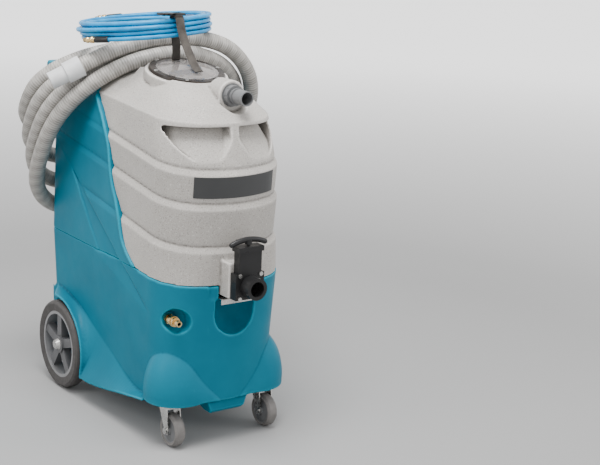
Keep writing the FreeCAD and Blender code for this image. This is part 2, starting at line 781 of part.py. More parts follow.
def lid_screws():
    screws = []
    for point in lid_screw_points():
        head = rod(5.0, point + lid_axis * 2.0, lid_axis, 2.5)
        shank = rod(lid_screw_radius, point - lid_axis * 14, lid_axis, 16.5)
        screws.append(head.fuse(shank))
    return Part.makeCompound(screws)


def lid_gasket():
    return lid_lathe([(lid_radius - 6, -2.0), (lid_radius - 0.5, -2.0), (lid_radius - 0.5, -0.5),
                      (lid_radius - 6, -0.5)])


def dome_points(radius, height, low, steps=6):
    """Profile of a shallow dome from the rim to the axis."""
    sphere = (radius ** 2 + height ** 2) / (2 * height)
    reach = math.asin(radius / sphere)
    points = []
    for index in range(steps + 1):
        angle = reach * (1 - index / steps)
        points.append((sphere * math.sin(angle), low + height - sphere * (1 - math.cos(angle))))
    return points


def clear_lid():
    inner = dome_points(lid_radius - 9 - lid_thickness, lid_rise, -0.5)
    outer = dome_points(lid_radius - 9, lid_rise, -0.5 + lid_thickness)
    inner.reverse()
    rim = [(lid_radius - 9 - lid_thickness, -0.5), (lid_radius, -0.5), (lid_radius, -0.5 + lid_thickness)]
    outline = [(0.0, inner[0][1])] + inner[1:-1] + rim + outer[:-1] + [(0.0, outer[-1][1])]
    return lid_lathe(outline)


# Vacuum inlet, standpipe and float shut-off

def inlet_barb():
    """Inlet tube: a shank through the boss, a stop collar and a plain end for the hose cuff."""
    bore = inlet_tube_radius - 3
    back = 25
    collar = back + 70 - inlet_tube_length
    profile = [(bore, 0), (inlet_shank_radius, 0), (inlet_shank_radius, collar - 6),
               (inlet_tube_radius + 2.5, collar - 5),
               (inlet_tube_radius + 2.5, collar - 2), (inlet_tube_radius - 0.5, collar - 1.5),
               (inlet_tube_radius - 0.5, collar), (inlet_tube_radius, collar), (inlet_tube_radius, back + 70),
               (bore, back + 70)]
    stem = lathe(profile, Vector(inlet_x, inlet_face_y + back, inlet_z), -Y, X)
    flange = tube(inlet_boss_radius - 8, inlet_shank_radius - 1, Vector(inlet_x, inlet_face_y, inlet_z), Y,
                  inlet_seat_depth)
    return stem.fuse(flange)


def inlet_nut():
    center = Vector(inlet_x, inlet_face_y - slack, inlet_z)
    ring = rod(inlet_shank_radius + 7, center, -Y, 16)
    for index in range(8):
        angle = math.radians(45 * index)
        spoke = Vector(math.cos(angle), 0, math.sin(angle))
        ring = ring.cut(rod(2.5, center + spoke * (inlet_shank_radius + 8.2) - Y * 4, -Y, 20))
    return ring.cut(rod(inlet_shank_radius + 0.1, center + Y, -Y, 20))


standpipe_radius = 30.0
standpipe_center = Vector(0, -128, bay_roof_z)
standpipe_top_z = bay_roof_z + 248.0
standpipe_wall = 4.0
standpipe_bend_radius = 38.0
ball_radius = 25.0
cage_radius = 35.0
cage_height = 78.0
cage_ring_thickness = 5.0
cage_bar_count = 5
cage_bar_radius = 2.5
float_seat_radius = 22.0
float_floor_radius = 15.0


def standpipe():
    """Air pipe from the motor bay up to the float cage."""
    bore = standpipe_radius - standpipe_wall
    pipe = tube(standpipe_radius, bore, standpipe_center, Z, standpipe_top_z - bay_roof_z)
    collar = tube(standpipe_radius + 8, bore, standpipe_center + Z * (cavity_wall + slack), Z, 5)
    top = Vector(standpipe_center.x, standpipe_center.y, standpipe_top_z)
    ring = Part.Face(Part.Wire(Part.makeCircle(standpipe_radius, top, Z)))
    ring = ring.cut(Part.Face(Part.Wire(Part.makeCircle(bore, top, Z))))
    bend = ring.revolve(top - Y * standpipe_bend_radius, X, 180)
    return pipe.fuse([collar, bend])


def float_cage():
    """Cage under the mouth of the bend: a seat ring, five bars and a floor ring."""
    seat_top = Vector(standpipe_center.x, standpipe_center.y - 2 * standpipe_bend_radius,
                      standpipe_top_z - slack)
    seat = tube(cage_radius, float_seat_radius, seat_top, -Z, cage_ring_thickness)
    floor = tube(cage_radius, float_floor_radius, seat_top - Z * cage_height, -Z, cage_ring_thickness)
    bars = []
    for index in range(cage_bar_count):
        angle = 2 * math.pi / cage_bar_count * index
        spoke = Vector(math.cos(angle), math.sin(angle), 0) * (cage_radius - cage_bar_radius - 1)
        bars.append(rod(cage_bar_radius, seat_top + spoke - Z, -Z, cage_height))
    return fuse([seat, floor] + bars)


def float_ball():
    """Lies on the edge of the cage floor until water lifts it against the seat."""
    lift = math.sqrt(ball_radius ** 2 - float_floor_radius ** 2) + slack
    center = Vector(standpipe_center.x, standpipe_center.y - 2 * standpipe_bend_radius,
                    standpipe_top_z - slack - cage_height + lift)
    return Part.makeSphere(ball_radius, center)


def badge(grey_body):
    """Plain curved plate on the wall between the first and second groove."""
    slab = box(-badge_half_width, badge_half_width, front_y, nose_y + 85, badge_low_z, badge_high_z)
    slab.rotate(Vector(0, tank_nose_ys[2][1], (badge_low_z + badge_high_z) / 2), X,
                math.degrees(tank_step_slope))
    plate = grey_body.common(slab)
    plate.translate(Vector(0, -badge_thickness, 0))
    return plate.cut(grey_body)


# Dump valve

valve_bolt_half_x = 31.0
valve_bolt_half_z = 30.0
valve_bolt_radius = 3.0
gate_thickness = 3.0
bonnet_half_width = 33.0
bonnet_top_z = valve_z + 90.0
cap_thickness = 13.0
stem_radius = 4.0
handle_bar_radius = 7.0


def valve_bolt_points():
    return [(x, valve_z + z) for x in (-valve_bolt_half_x, valve_bolt_half_x)
            for z in (-valve_bolt_half_z, valve_bolt_half_z)]


def valve_plate(y0, y1):
    low, high = valve_z - valve_height / 2, valve_z + valve_height / 2
    body = box(-valve_width / 2, valve_width / 2, y0, y1, low, high)
    bonnet = box(-bonnet_half_width, bonnet_half_width, y0, y1, high - 1, bonnet_top_z)
    return body.fuse(bonnet)


def gate_room():
    half = gate_thickness / 2 + 0.2
    middle = valve_front_y + valve_thickness
    reach = valve_bore_radius + 3 + 0.2
    round_end = rod(reach, Vector(0, middle - half, valve_z), Y, 2 * half)
    slot = box(-reach, reach, middle - half, middle + half, valve_z, bonnet_top_z + 1)
    stem_bore = rod(stem_radius + slack, Vector(0, middle, valve_z), Z, bonnet_top_z + 1 - valve_z)
    return round_end.fuse([slot, stem_bore])


def valve_body_rear():
    middle = valve_front_y + valve_thickness
    body = valve_plate(middle, middle + valve_thickness)
    body = body.cut(gate_room()).cut(rod(valve_bore_radius, Vector(0, middle - 1, valve_z), Y, 60))
    for x, z in valve_bolt_points():
        body = body.cut(rod(valve_bolt_radius, Vector(x, middle - 1, z), Y, 60))
    return body


def valve_body_front():
    middle = valve_front_y + valve_thickness
    body = valve_plate(valve_front_y, middle)
    port = rod(outlet_socket_radius + 9, Vector(0, front_y, valve_z), Y, valve_port_length + 1)
    body = body.fuse(port).cut(gate_room())
    mouth = [(0, -1), (outlet_socket_radius, -1), (outlet_socket_radius, outlet_socket_depth),
             (valve_bore_radius, outlet_socket_depth + 3), (valve_bore_radius, 60), (0, 60)]
    body = body.cut(lathe(mouth, Vector(0, front_y, valve_z), Y, X))
    for x, z in valve_bolt_points():
        body = body.cut(rod(valve_bolt_radius, Vector(x, valve_front_y - 1, z), Y, 60))
    return body


def valve_cap():
    """Gland flange on top of the bonnet, round the stem."""
    margin = 4.0
    back = valve_front_y + 2 * valve_thickness
    cap = box(-bonnet_half_width - margin, bonnet_half_width + margin, valve_front_y - margin, back + margin,
              bonnet_top_z, bonnet_top_z + cap_thickness)
    stem = Vector(0, valve_front_y + valve_thickness, bonnet_top_z - 1)
    return cap.cut(rod(stem_radius + stem_play, stem, Z, cap_thickness + 2))


def valve_bolts():
    bolts = []
    for x, z in valve_bolt_points():
        head = rod(5.5, Vector(x, valve_front_y, z), -Y, 4)
        bolts.append(head.fuse(rod(valve_bolt_radius, Vector(x, valve_front_y, z), Y,
                                   2 * valve_thickness + cavity_wall - 3)))
    return Part.makeCompound(bolts)


handle_bar_z = bonnet_top_z + 29.0


def gate_blade():
    middle = valve_front_y + valve_thickness
    reach = valve_bore_radius + 3
    half = gate_thickness / 2
    blade = rod(reach, Vector(0, middle - half, valve_z), Y, gate_thickness)
    blade = blade.fuse(box(-reach, reach, middle - half, middle + half, valve_z, valve_z + reach))
    stem = rod(stem_radius, Vector(0, middle, valve_z + reach - 4), Z, handle_bar_z - valve_z - reach + 4)
    return blade.fuse(stem.cut(box(-10, 10, middle - half, middle + half, valve_z, valve_z + reach)))


def gate_handle():
    """Bowed cross bar pressed on the end of the stem."""
    middle = valve_front_y + valve_thickness
    span, rise = 49.0, 10.0
    radius = (span ** 2 + rise ** 2) / (2 * rise)
    top = Vector(0, middle, handle_bar_z)
    center = top - Z * radius
    start = Part.Face(Part.Wire(Part.makeCircle(handle_bar_radius, top, X)))
    reach = math.degrees(math.asin(span / radius))
    start.rotate(center, Y, -reach)
    bar = start.revolve(center, Y, 2 * reach)
    ends = [Part.makeSphere(handle_bar_radius, center + Vector(side * span, 0,
                                                               radius - rise)) for side in (-1, 1)]
    hub = rod(stem_radius + 5, top - Z * 12, Z, 12)
    bore = rod(stem_radius, top - Z * 13, Z, 13)
    return fuse([bar, hub] + ends).cut(bore)


# Rear wheels, axle and hinge pin

def wheel_inner_x():
    return rear_wheel_outer_x - rear_tyre_width


def tyre(side):
    inner, outer = wheel_inner_x(), rear_wheel_outer_x
    r = rear_wheel_diameter / 2
    shoulder = 9.0
    profile = [(rear_rim_radius, inner + 3), (r - shoulder, inner), (r - 3, inner + 4), (r, inner + 11),
               (r, outer - 11), (r - 3, outer - 4), (r - shoulder, outer), (rear_rim_radius, outer - 3)]
    return lathe(profile, Vector(0, rear_axle_y, rear_axle_z), X * side, Z)


rim_depth = 9.0
hub_radius = 26.0
spoke_count = 5
spoke_width = 26.0


def wheel_hub(side):
    inner, outer = wheel_inner_x(), rear_wheel_outer_x
    center = Vector(0, rear_axle_y, rear_axle_z)
    bore = axle_radius + axle_play
    rim = lathe([(rear_rim_radius - rim_depth, inner + 4), (rear_rim_radius, inner + 4), (rear_rim_radius,
                                                                                          outer - 4),
                 (rear_rim_radius - rim_depth, outer - 4)], center, X * side, Z)
    boss = lathe([(bore, inner - 4), (hub_radius - 4, inner - 4), (hub_radius, inner + 8), (hub_radius,
                                                                                            outer - 3),
                  (bore, outer - 3)], center, X * side, Z)
    start, end = sorted((side * (inner + 12), side * (outer - 8)))
    spoke = box(start, end, rear_axle_y - spoke_width / 2, rear_axle_y + spoke_width / 2,
                rear_axle_z + hub_radius - 3, rear_axle_z + rear_rim_radius - rim_depth + 2)
    spokes = []
    for index in range(spoke_count):
        arm = spoke.copy()
        arm.rotate(center, X, 360 / spoke_count * index)
        spokes.append(arm)
    return rim.fuse([boss] + spokes)


def rear_axle():
    half = rear_wheel_outer_x + 6
    return rod(axle_radius, Vector(-half, rear_axle_y, rear_axle_z), X, 2 * half)


def axle_nuts():
    nuts = []
    for side in (-1, 1):
        seat = Vector(side * (rear_wheel_outer_x - 3 + slack), rear_axle_y, rear_axle_z)
        axis = X * side
        nut = Part.makeCone(17, 12, 10, seat, axis).cut(rod(axle_radius, seat - axis, axis, 10))
        nuts.append(nut)
    return Part.makeCompound(nuts)


def hinge_pin():
    end = base_knuckle_spans[-1][1] + 3
    pin = rod(hinge_pin_radius, Vector(-end, hinge_y, hinge_z), X, 2 * end)
    heads = [rod(hinge_pin_radius + 3, Vector(side * end, hinge_y, hinge_z), X * -side,
                 3 - slack) for side in (-1, 1)]
    return fuse([pin] + heads)


# Casters

swivel_boss_radius = 20.0
swivel_drop = 9.0
fork_disc_radius = 24.0
fork_disc_thickness = 5.0
fork_leg_thickness = 2.5
caster_bolt_head = 5.0
caster_axle_radius = 5.0


def caster_plate(side):
    center = caster_center(side) + Z * (caster_seat_z - caster_plate_thickness)
    plate = box(-caster_plate_width / 2, caster_plate_width / 2, -caster_plate_length / 2,
                caster_plate_length / 2,
                0, caster_plate_thickness)
    plate.translate(center)
    boss = rod(swivel_boss_radius, center, -Z, swivel_drop)
    kingpin = rod(6, center, -Z, swivel_drop + fork_disc_thickness + 3)
    plate = plate.fuse([boss, kingpin])
    for point in caster_bolt_points(side):
        plate = plate.cut(rod(caster_bolt_radius, point + Z * (caster_seat_z - 10), Z, 20))
    return plate


def caster_bolts():
    bolts = []
    for side in (-1, 1):
        for point in caster_bolt_points(side):
            base = point + Z * (caster_seat_z - caster_plate_thickness)
            head = rod(caster_bolt_radius + 3, base, -Z, caster_bolt_head)
            bolts.append(head.fuse(rod(caster_bolt_radius, base, Z, caster_plate_thickness + base_wall + 18)))
    return Part.makeCompound(bolts)


def caster_axle_center(side):
    return Vector(side * caster_half_track, caster_y - caster_trail, caster_wheel_diameter / 2)


def caster_fork(side):
    top_z = caster_seat_z - caster_plate_thickness - swivel_drop - slack
    center = caster_center(side)
    disc = tube(fork_disc_radius, 6 + caster_play, Vector(center.x, center.y, top_z), -Z, fork_disc_thickness)
    axle = caster_axle_center(side)
    half = caster_wheel_width / 2 + 3
    low = top_z - fork_disc_thickness
    bridge = box(center.x - half - fork_leg_thickness, center.x + half + fork_leg_thickness,
                 center.y - fork_disc_radius - 2, center.y + 14, low, top_z)
    bridge = bridge.cut(rod(6 + caster_play, Vector(center.x, center.y, low - 1), Z, 12))
    legs = []
    for leg in (-1, 1):
        x = center.x + leg * half
        outline = [
            Vector(x, center.y + 14, top_z), Vector(x, center.y - fork_disc_radius - 2, top_z),
            Vector(x, axle.y - 11, axle.z + 4), Vector(x, axle.y - 7, axle.z - 10),
            Vector(x, axle.y + 7, axle.z - 10), Vector(x, axle.y + 12, axle.z + 6),
        ]
        legs.append(extrude(outline, Vector(leg * fork_leg_thickness, 0, 0)))
    fork = fuse([disc, bridge] + legs)
    fork = fork.cut(rod(caster_axle_radius, Vector(center.x - 40, axle.y, axle.z), X, 80))
    return Part.makeCompound([fork, caster_axle(side)])


def caster_axle(side):
    axle = caster_axle_center(side)
    half = caster_wheel_width / 2 + 3 + fork_leg_thickness
    shaft = rod(caster_axle_radius, axle - X * (half + 1), X, 2 * half + 2)
    heads = [rod(8.5, axle + X * (half * end), X * end, 5) for end in (-1, 1)]
    return fuse([shaft] + heads)


def caster_core(side):
    axle = caster_axle_center(side)
    half = caster_wheel_width / 2
    bore = caster_axle_radius + caster_play
    hub = half + 2.5
    return lathe([(bore, -hub), (11, -hub), (13, -half + 3), (30, -half + 6), (33, -half + 2), (33, half - 2),
                  (30, half - 6), (13, half - 3), (11, hub), (bore, hub)], axle, X, Z)


def caster_tread(side):
    axle = caster_axle_center(side)
    half = caster_wheel_width / 2
    r = caster_wheel_diameter / 2
    return lathe([(33, -half + 2), (r - 5, -half), (r, -half + 7), (r, half - 7), (r - 5, half),
                  (33, half - 2)],
                 axle, X, Z)


# Small fittings on the base

strike_plate_thickness = 2.0
strike_half_width = 66.0
strike_lip_z = notch_floor_z - 13
strike_screw_points = [(-48.0, notch_back_y - 12), (48.0, notch_back_y - 12)]


def strike_plate():
    """Bent steel plate that the tanks rest on, with a lip over the front edge."""
    front = nose_y - 2
    top = notch_floor_z + strike_plate_thickness
    plate = side_profile([
        (notch_back_y - 2, notch_floor_z), (notch_back_y - 2, top), (front, top),
        (front - strike_plate_thickness, top - strike_plate_thickness), (front - strike_plate_thickness,
                                                                         strike_lip_z),
        (front, strike_lip_z), (front, notch_floor_z),
    ], strike_half_width)
    for x, y in strike_screw_points:
        plate = plate.cut(rod(2.5, Vector(x, y, notch_floor_z - 1), Z, 10))
    return plate


def strike_screws():
    screws = []
    for x, y in strike_screw_points:
        base = Vector(x, y, notch_floor_z + strike_plate_thickness)
        screws.append(rod(4.5, base, Z, 2.5).fuse(rod(2.5, base, -Z, strike_plate_thickness)))
    return Part.makeCompound(screws)


coupler_hex = 24.0
sleeve_radius = 12.0
sleeve_length = 28.0
sleeve_travel = 4.0
plug_radius = 8.5
coupler_nose_radius = 8.0        # takes the other half of the quick connector
coupler_nose_length = 12.0
coupler_stop = 3.0
coupler_nut = 9.0


def coupler_body():
    """Brass quick connector on the flat at the bottom of the dish."""
    seat = Vector(coupler_x, coupler_seat_y, coupler_z)
    corners = []
    for index in range(6):
        angle = math.radians(60 * index)
        corners.append(seat + Vector(math.cos(angle), 0, math.sin(angle)) * (coupler_hex / math.sqrt(3)))
    nut = extrude(corners, -Y * coupler_nut)
    reach = coupler_nut + sleeve_travel + sleeve_length + 2 * slack
    core = rod(plug_radius, seat, -Y, reach + 1)
    stop = rod(sleeve_radius - 2, seat - Y * reach, -Y, coupler_stop)
    tip = seat - Y * (reach + coupler_stop)
    nose = rod(coupler_nose_radius - 0.5, tip, -Y, 2).fuse(rod(coupler_nose_radius, tip - Y * 1.5, -Y,
                                                               coupler_nose_length))
    shank = rod(coupler_hole_radius - slack, seat, Y, 45)
    body = fuse([nut, core, stop, nose, shank])
    return body.cut(rod(5, seat + Y * 50, -Y, 120))


def coupler_sleeve():
    start = Vector(coupler_x, coupler_seat_y - coupler_nut - sleeve_travel - slack, coupler_z)
    sleeve = tube(sleeve_radius, plug_radius + sleeve_play, start, -Y, sleeve_length)
    grip = tube(sleeve_radius + 1.5, sleeve_radius - 1, start - Y * 9, -Y, 10)
    return sleeve.fuse(grip)


bezel_lip = 2.0
rocker_half_height = 11.0


def rocker_switch(x):
    """Rocker with a round back that turns in its window."""
    half_width = switch_width / 2 - bezel_lip - slack
    pivot = Vector(x, rear_y - 7, switch_z)
    body = rod(9, pivot - X * half_width, X, 2 * half_width)
    high = rocker_half_height
    paddle = extrude([
        Vector(x - half_width, rear_y - 7, switch_z - high + 1), Vector(x - half_width, rear_y + 1,
                                                                        switch_z - high),
        Vector(x - half_width, rear_y + 1.5, switch_z), Vector(x - half_width, rear_y + 4, switch_z + high),
        Vector(x - half_width, rear_y - 7, switch_z + high - 1),
    ], Vector(2 * half_width, 0, 0))
    return body.fuse(paddle)


def switch_bezels():
    """Frames round the rockers, with the pins they turn on."""
    frames = []
    for x in switch_x:
        w, h = switch_width / 2, switch_height / 2
        frame = box(x - w - 3, x + w + 3, rear_y, rear_y + 2, switch_z - h - 3, switch_z + h + 3)
        frame = frame.cut(box(x - w + bezel_lip, x + w - bezel_lip, rear_y - 1, rear_y + 3, switch_z - h + 1,
                              switch_z + h - 1))
        frames.append(frame)
    return Part.makeCompound(frames)


def power_inlet():
    """Recessed three pin socket for the mains lead."""
    w, h = inlet_socket_width / 2, inlet_socket_height / 2
    body = box(inlet_socket_x - w + slack, inlet_socket_x + w - slack, rear_y - 22, rear_y,
               switch_z - h + slack,
               switch_z + h - slack)
    rim = box(inlet_socket_x - w - 8, inlet_socket_x + w + 8, rear_y, rear_y + 2.5, switch_z - h - 3,
              switch_z + h + 3)
    body = body.fuse(rim)
    body = body.cut(box(inlet_socket_x - w + 3, inlet_socket_x + w - 3, rear_y - 16, rear_y + 5,
                        switch_z - h + 3,
                        switch_z + h - 3))
    pins = [box(inlet_socket_x + x - 1, inlet_socket_x + x + 1, rear_y - 17, rear_y - 4, switch_z + z - 2.5,
                switch_z + z + 2.5) for x, z in ((-7, -1), (7, -1), (0, 3))]
    return body.fuse(pins)


# Vacuum motor under the tanks, its intake and its exhaust

vac_center = Vector(0, vac_center_y, bay_roof_z)
vac_outlet_z = bay_roof_z - 34.0
vac_outlet_radius = 19.0
vac_outlet_x = 84.0


def vac_fan_housing():
    drum = lathe([(0, 0), (vac_fan_radius + 8, 0), (vac_fan_radius + 8, 5), (vac_fan_radius, 5),
                  (vac_fan_radius, vac_fan_height - 8), (vac_fan_radius - 8, vac_fan_height),
                  (0, vac_fan_height)],
                 vac_center, -Z, X)
    outlet = Vector(0, vac_center_y, vac_outlet_z)
    horn = rod(vac_outlet_radius, outlet, X, vac_outlet_x)
    fan = drum.fuse(horn).cut(rod(vac_outlet_radius - 3, outlet + X * 40, X, 100))
    return Part.makeCompound([fan, hose_clamp()])


def vac_motor_can():
    top = vac_fan_height
    shell = lathe([(0, top), (vac_can_radius - 4, top), (vac_can_radius, top + 6), (vac_can_radius, top + 62),
                   (vac_can_radius - 12, top + vac_can_height), (0, top + vac_can_height)], vac_center, -Z, X)
    slots = []
    for index in range(8):
        slot = box(vac_can_radius - 5, vac_can_radius + 5, -5, 5, -8, 8)
        slot.rotate(Vector(0, 0, 0), Z, 45 * index)
        slot.translate(vac_center - Z * (top + 34))
        slots.append(slot)
    for slot in slots:
        shell = shell.cut(slot)
    return Part.makeCompound([shell, vac_tie_rods()])


tie_rod_radius = 3.0
tie_rod_circle = 56.0


def vac_tie_rods():
    rods = []
    for index in range(3):
        angle = math.radians(120 * index + 30)
        spot = vac_center + Vector(math.cos(angle), math.sin(angle), 0) * tie_rod_circle
        spot = spot - Z * vac_fan_height
        rods.append(rod(tie_rod_radius, spot, -Z, vac_can_height - 20))
    low = vac_center - Z * (vac_fan_height + vac_can_height - 20)
    plate = tube(tie_rod_circle + 8, vac_can_radius + 0.5, low, Z, 4)
    return fuse(rods + [plate])


intake_radius = 24.0
intake_wall = 3.0
intake_drop = 34.0


def vac_intake():
    """Elbow from the bottom of the standpipe to the fan housing."""
    top = Vector(standpipe_center.x, standpipe_center.y, bay_roof_z)
    low = top - Z * intake_drop
    reach = vac_center_y - vac_fan_radius - low.y
    across = vac_center_y - math.sqrt(vac_fan_radius ** 2 - intake_radius ** 2) - low.y

    def path(radius):
        down = rod(radius, top, -Z, intake_drop)
        knee = Part.makeSphere(radius, low)
        return fuse([down, knee, rod(radius, low, Y, across)])

    flange = rod(intake_radius + 12, top, -Z, 4)
    elbow = path(intake_radius).fuse(flange).cut(path(intake_radius - intake_wall))
    return elbow.cut(rod(vac_fan_radius + 0.1, vac_center, -Z, 100))


def route(points):
    """Straight runs joined by tangent arcs as large as the runs allow."""
    edges = []
    start = points[0]
    radii = []
    for before, corner, after in zip(points, points[1:], points[2:]):
        back, ahead = before - corner, after - corner
        run = min(back.Length, ahead.Length)
        back.normalize()
        ahead.normalize()
        half_turn = (math.pi - back.getAngle(ahead)) / 2
        cut = 0.45 * run
        radius = cut / math.tan(half_turn)
        radii.append(round(radius))
        enter, leave = corner + back * cut, corner + ahead * cut
        bisector = back + ahead
        bisector.normalize()
        middle = corner + bisector * (radius / math.cos(half_turn) - radius)
        edges.append(Part.makeLine(start, enter))
        edges.append(Part.Arc(enter, middle, leave).toShape())
        start = leave
    edges.append(Part.makeLine(start, points[-1]))
    return Part.Wire(edges), radii


def hose(name, points, radius, bore=0.0):
    wire, radii = route([Vector(*point) for point in points])
    start = Vector(*points[0])
    heading = Vector(*points[1]) - start
    shape = wire.makePipeShell([Part.Wire(Part.makeCircle(radius, start, heading))], True, False)
    if bore:
        shape = shape.cut(wire.makePipeShell([Part.Wire(Part.makeCircle(bore, start, heading))], True, False))
    area = math.pi * (radius ** 2 - bore ** 2)
    print(name, "length", round(wire.Length), "radii", radii, "volume share",
          round(shape.Volume / area / wire.Length, 3))
    return shape


exhaust_hose_points = [
    (vac_outlet_x + slack, vac_center_y, vac_outlet_z), (119, vac_center_y, vac_outlet_z), (132, 4,
                                                                                            seam_z + 4),
    (136, 24, seam_z - 70), (140, 62, 270), (140, 120, 212), (138, rear_y - 186, 214), (134, rear_y - 128,
                                                                                        290),
    (exhaust_center.x, rear_y - 96, exhaust_center.z),
    (exhaust_center.x, rear_y - exhaust_bore_length - slack, exhaust_center.z),
]
fitting_x = -90.0
fitting_y = 40.0
pump_inlet_x = pump_x - pump_motor_length / 2 - 40
pump_inlet_z = pump_center.z + 50
supply_tube_points = [
    (fitting_x, fitting_y, bay_roof_z - 14), (fitting_x, fitting_y, bay_roof_z - 50), (-110, 20, seam_z - 70),
    (-112, -60, 300), (-108, -120, 292), (pump_inlet_x, pump_center.y, pump_inlet_z + 24),
    (pump_inlet_x, pump_center.y, pump_inlet_z),
]
pressure_tube_points = [
    (coupler_x, coupler_seat_y + 45 + slack, coupler_z), (coupler_x, coupler_seat_y + 72, coupler_z),
    (-148, pump_center.y + 5, 300), (-140, pump_center.y + 15, 245),
    (pump_center.x - pump_motor_length / 2 - 77.3, pump_center.y, pump_center.z),
]


def exhaust_hose():
    return hose("exhaust_hose", exhaust_hose_points, 22.0, 18.5)


def hose_clamp():
    center = Vector(vac_outlet_x - 16, vac_center_y, vac_outlet_z)
    band = tube(vac_outlet_radius + 3, vac_outlet_radius, center, X, 14)
    screw = rod(4, center + Vector(7, -12, vac_outlet_radius + 4), Y, 24)
    return band.fuse(screw)


# Pump on the floor of the base

pump_fin_depth = 4.0
pump_fin_count = 7
pump_head_length = 62.0
pump_head_half = 34.0


def pump_motor():
    left = pump_center.x - pump_motor_length / 2
    r = pump_motor_radius
    pitch = (pump_motor_length - 40) / pump_fin_count
    profile = [(0, 0), (r - 6, 0), (r - pump_fin_depth, 6), (r - pump_fin_depth, 20)]
    for index in range(pump_fin_count):
        x = 20 + pitch * index
        profile += [(r, x), (r, x + pitch * 0.45), (r - pump_fin_depth, x + pitch * 0.45),
                    (r - pump_fin_depth, x + pitch)]
    profile += [(r - pump_fin_depth, pump_motor_length - 6), (r - 10, pump_motor_length),
                (0, pump_motor_length)]
    return lathe(profile, Vector(left, pump_center.y, pump_center.z), X, Z)


def pump_head():
    right = pump_center.x - pump_motor_length / 2
    y, z, h = pump_center.y, pump_center.z, pump_head_half
    flange = rod(h + 6, Vector(right, y, z), -X, 12)
    block = box(right - pump_head_length, right - 12, y - h + 6, y + h - 6, z - h, z + h - 8)
    chambers = [rod(12, Vector(right - pump_head_length, y + shift, z + lift), -X, 8)
                for shift, lift in ((-15, -16), (15, -16), (0, 8))]
    return fuse([flange, block] + chambers)


def pump_fittings():
    """Brass inlet and outlet elbows on the pump head."""
    inlet = Vector(pump_inlet_x, pump_center.y, pump_center.z + pump_head_half - 8)
    barb = rod(5.5, inlet + Z * 10, Z, pump_inlet_z - slack - inlet.z - 10)
    return rod(8, inlet, Z, 10).fuse(barb)


def pump_bracket():
    y, z = pump_center.y, pump_center.z
    left, right = pump_center.x - 60, pump_center.x + 60
    plate = box(left, right, y - 50, y + 50, base_floor_z, base_floor_z + 4)
    saddles = [box(x - 8, x + 8, y - 40, y + 40, base_floor_z + 4, z - 18) for x in (left + 14, right - 14)]
    cradle = rod(pump_motor_radius + slack, Vector(left - 10, y, z), X, 200)
    return fuse([plate] + saddles).cut(cradle)


def tank_fitting():
    """White barbed elbow under the solution tank."""
    base = Vector(fitting_x, fitting_y, bay_roof_z)
    return fuse([rod(14, base, -Z, 5), rod(9, base - Z * 5, -Z, 5), rod(5.5, base - Z * 10, -Z, 4 - slack)])


# Hoses carried on top

loop_front = (Vector(38, 70, 977), Vector(0, 56, 0))        # middle of the crest, and its step per turn
loop_back = (Vector(38, rear_y + 49, 512), Vector(0, 20, 74))    # the same behind the rear wall
loop_half_width = (298.0, -3.0)
loop_first_turn = 3.25
loop_last_turn = -0.75
loop_squareness = 0.8           # 0.71 would be an ellipse


def biarc(p0, t0, p1, t1):
    """Two tangent arcs between two points with given headings."""
    t0, t1 = Vector(t0), Vector(t1)
    t0.normalize()
    t1.normalize()
    span = p1 - p0
    total = t0 + t1
    spread = 2 * (1 - t0.dot(t1))
    reach = (-span.dot(total) + math.sqrt(span.dot(total) ** 2 + spread * span.dot(span))) / spread
    c0, c1 = p0 + t0 * reach, p1 - t1 * reach
    joint = (c0 + c1) / 2
    return [tangent_arc(p0, c0, joint), tangent_arc(joint, c1, p1)]


def tangent_arc(start, corner, end):
    middle = (start + end) / 2
    half_chord = (end - start).Length / 2
    lift = (corner - middle).Length
    angle = math.atan2(lift, half_chord)
    height = half_chord * math.tan(angle / 2)
    top = middle + (corner - middle) * (height / lift)
    return Part.Arc(start, top, end).toShape()


def wire_points(wire, step):
    points = []
    for edge in wire.Edges:
        count = max(3, int(edge.Length / step))
        points += edge.discretize(count)
    return points


def least_gap(wire, radius, step=12.0):
    """Smallest air gap between stretches of the wire that are at least half a turn apart."""
    points = wire_points(wire, step)
    travelled = [0.0]
    for before, after in zip(points, points[1:]):
        travelled.append(travelled[-1] + (after - before).Length)
    least = 1e9
    for i, p in enumerate(points):
        for j in range(i + 1, len(points)):
            if travelled[j] - travelled[i] > 12 * radius:
                least = min(least, (points[j] - p).Length)
    return least - 2 * radius


def loop_point(turn, quarter):
    front = loop_front[0] + loop_front[1] * turn
    back = loop_back[0] + loop_back[1] * turn
    center, reach = (front + back) / 2, (front - back) / 2
    half_width = loop_half_width[0] + loop_half_width[1] * turn
    if quarter == 0:
        return front, -X
    if quarter == 2:
        return back, X
    side = -1 if quarter < 2 else 1
    if quarter in (1, 3):
        return center + X * (side * half_width), reach * side
    corner = center + (X * (side * half_width) - reach) * loop_squareness
    return corner, (X * half_width + reach * side)


def straight_end(point, heading, reach):
    step = Vector(heading)
    step.normalize()
    far = point + step * reach
    return Part.makeLine(far, point) if reach < 0 else Part.makeLine(point, far)


def vacuum_coil_wire():
    count = int(round((loop_first_turn - loop_last_turn) * 8))
    stations = []
    for index in range(count + 1):
        quarter = (index / 2 + 3) % 4
        if quarter not in (0.5, 3.5):
            stations.append(loop_point(loop_first_turn - index / 8, quarter))
    first, heading = stations[0]
    edges = [straight_end(first, heading, -2 * vac_hose_radius)]
    for (p0, t0), (p1, t1) in zip(stations, stations[1:]):
        edges += biarc(p0, t0, p1, t1)
    last, heading = stations[-1]
    edges.append(straight_end(last, heading, 2 * vac_hose_radius))
    return Part.Wire(edges)


def pipe(wire, radius, start, heading):
    return wire.makePipeShell([Part.Wire(Part.makeCircle(radius, start, heading))], True, False)


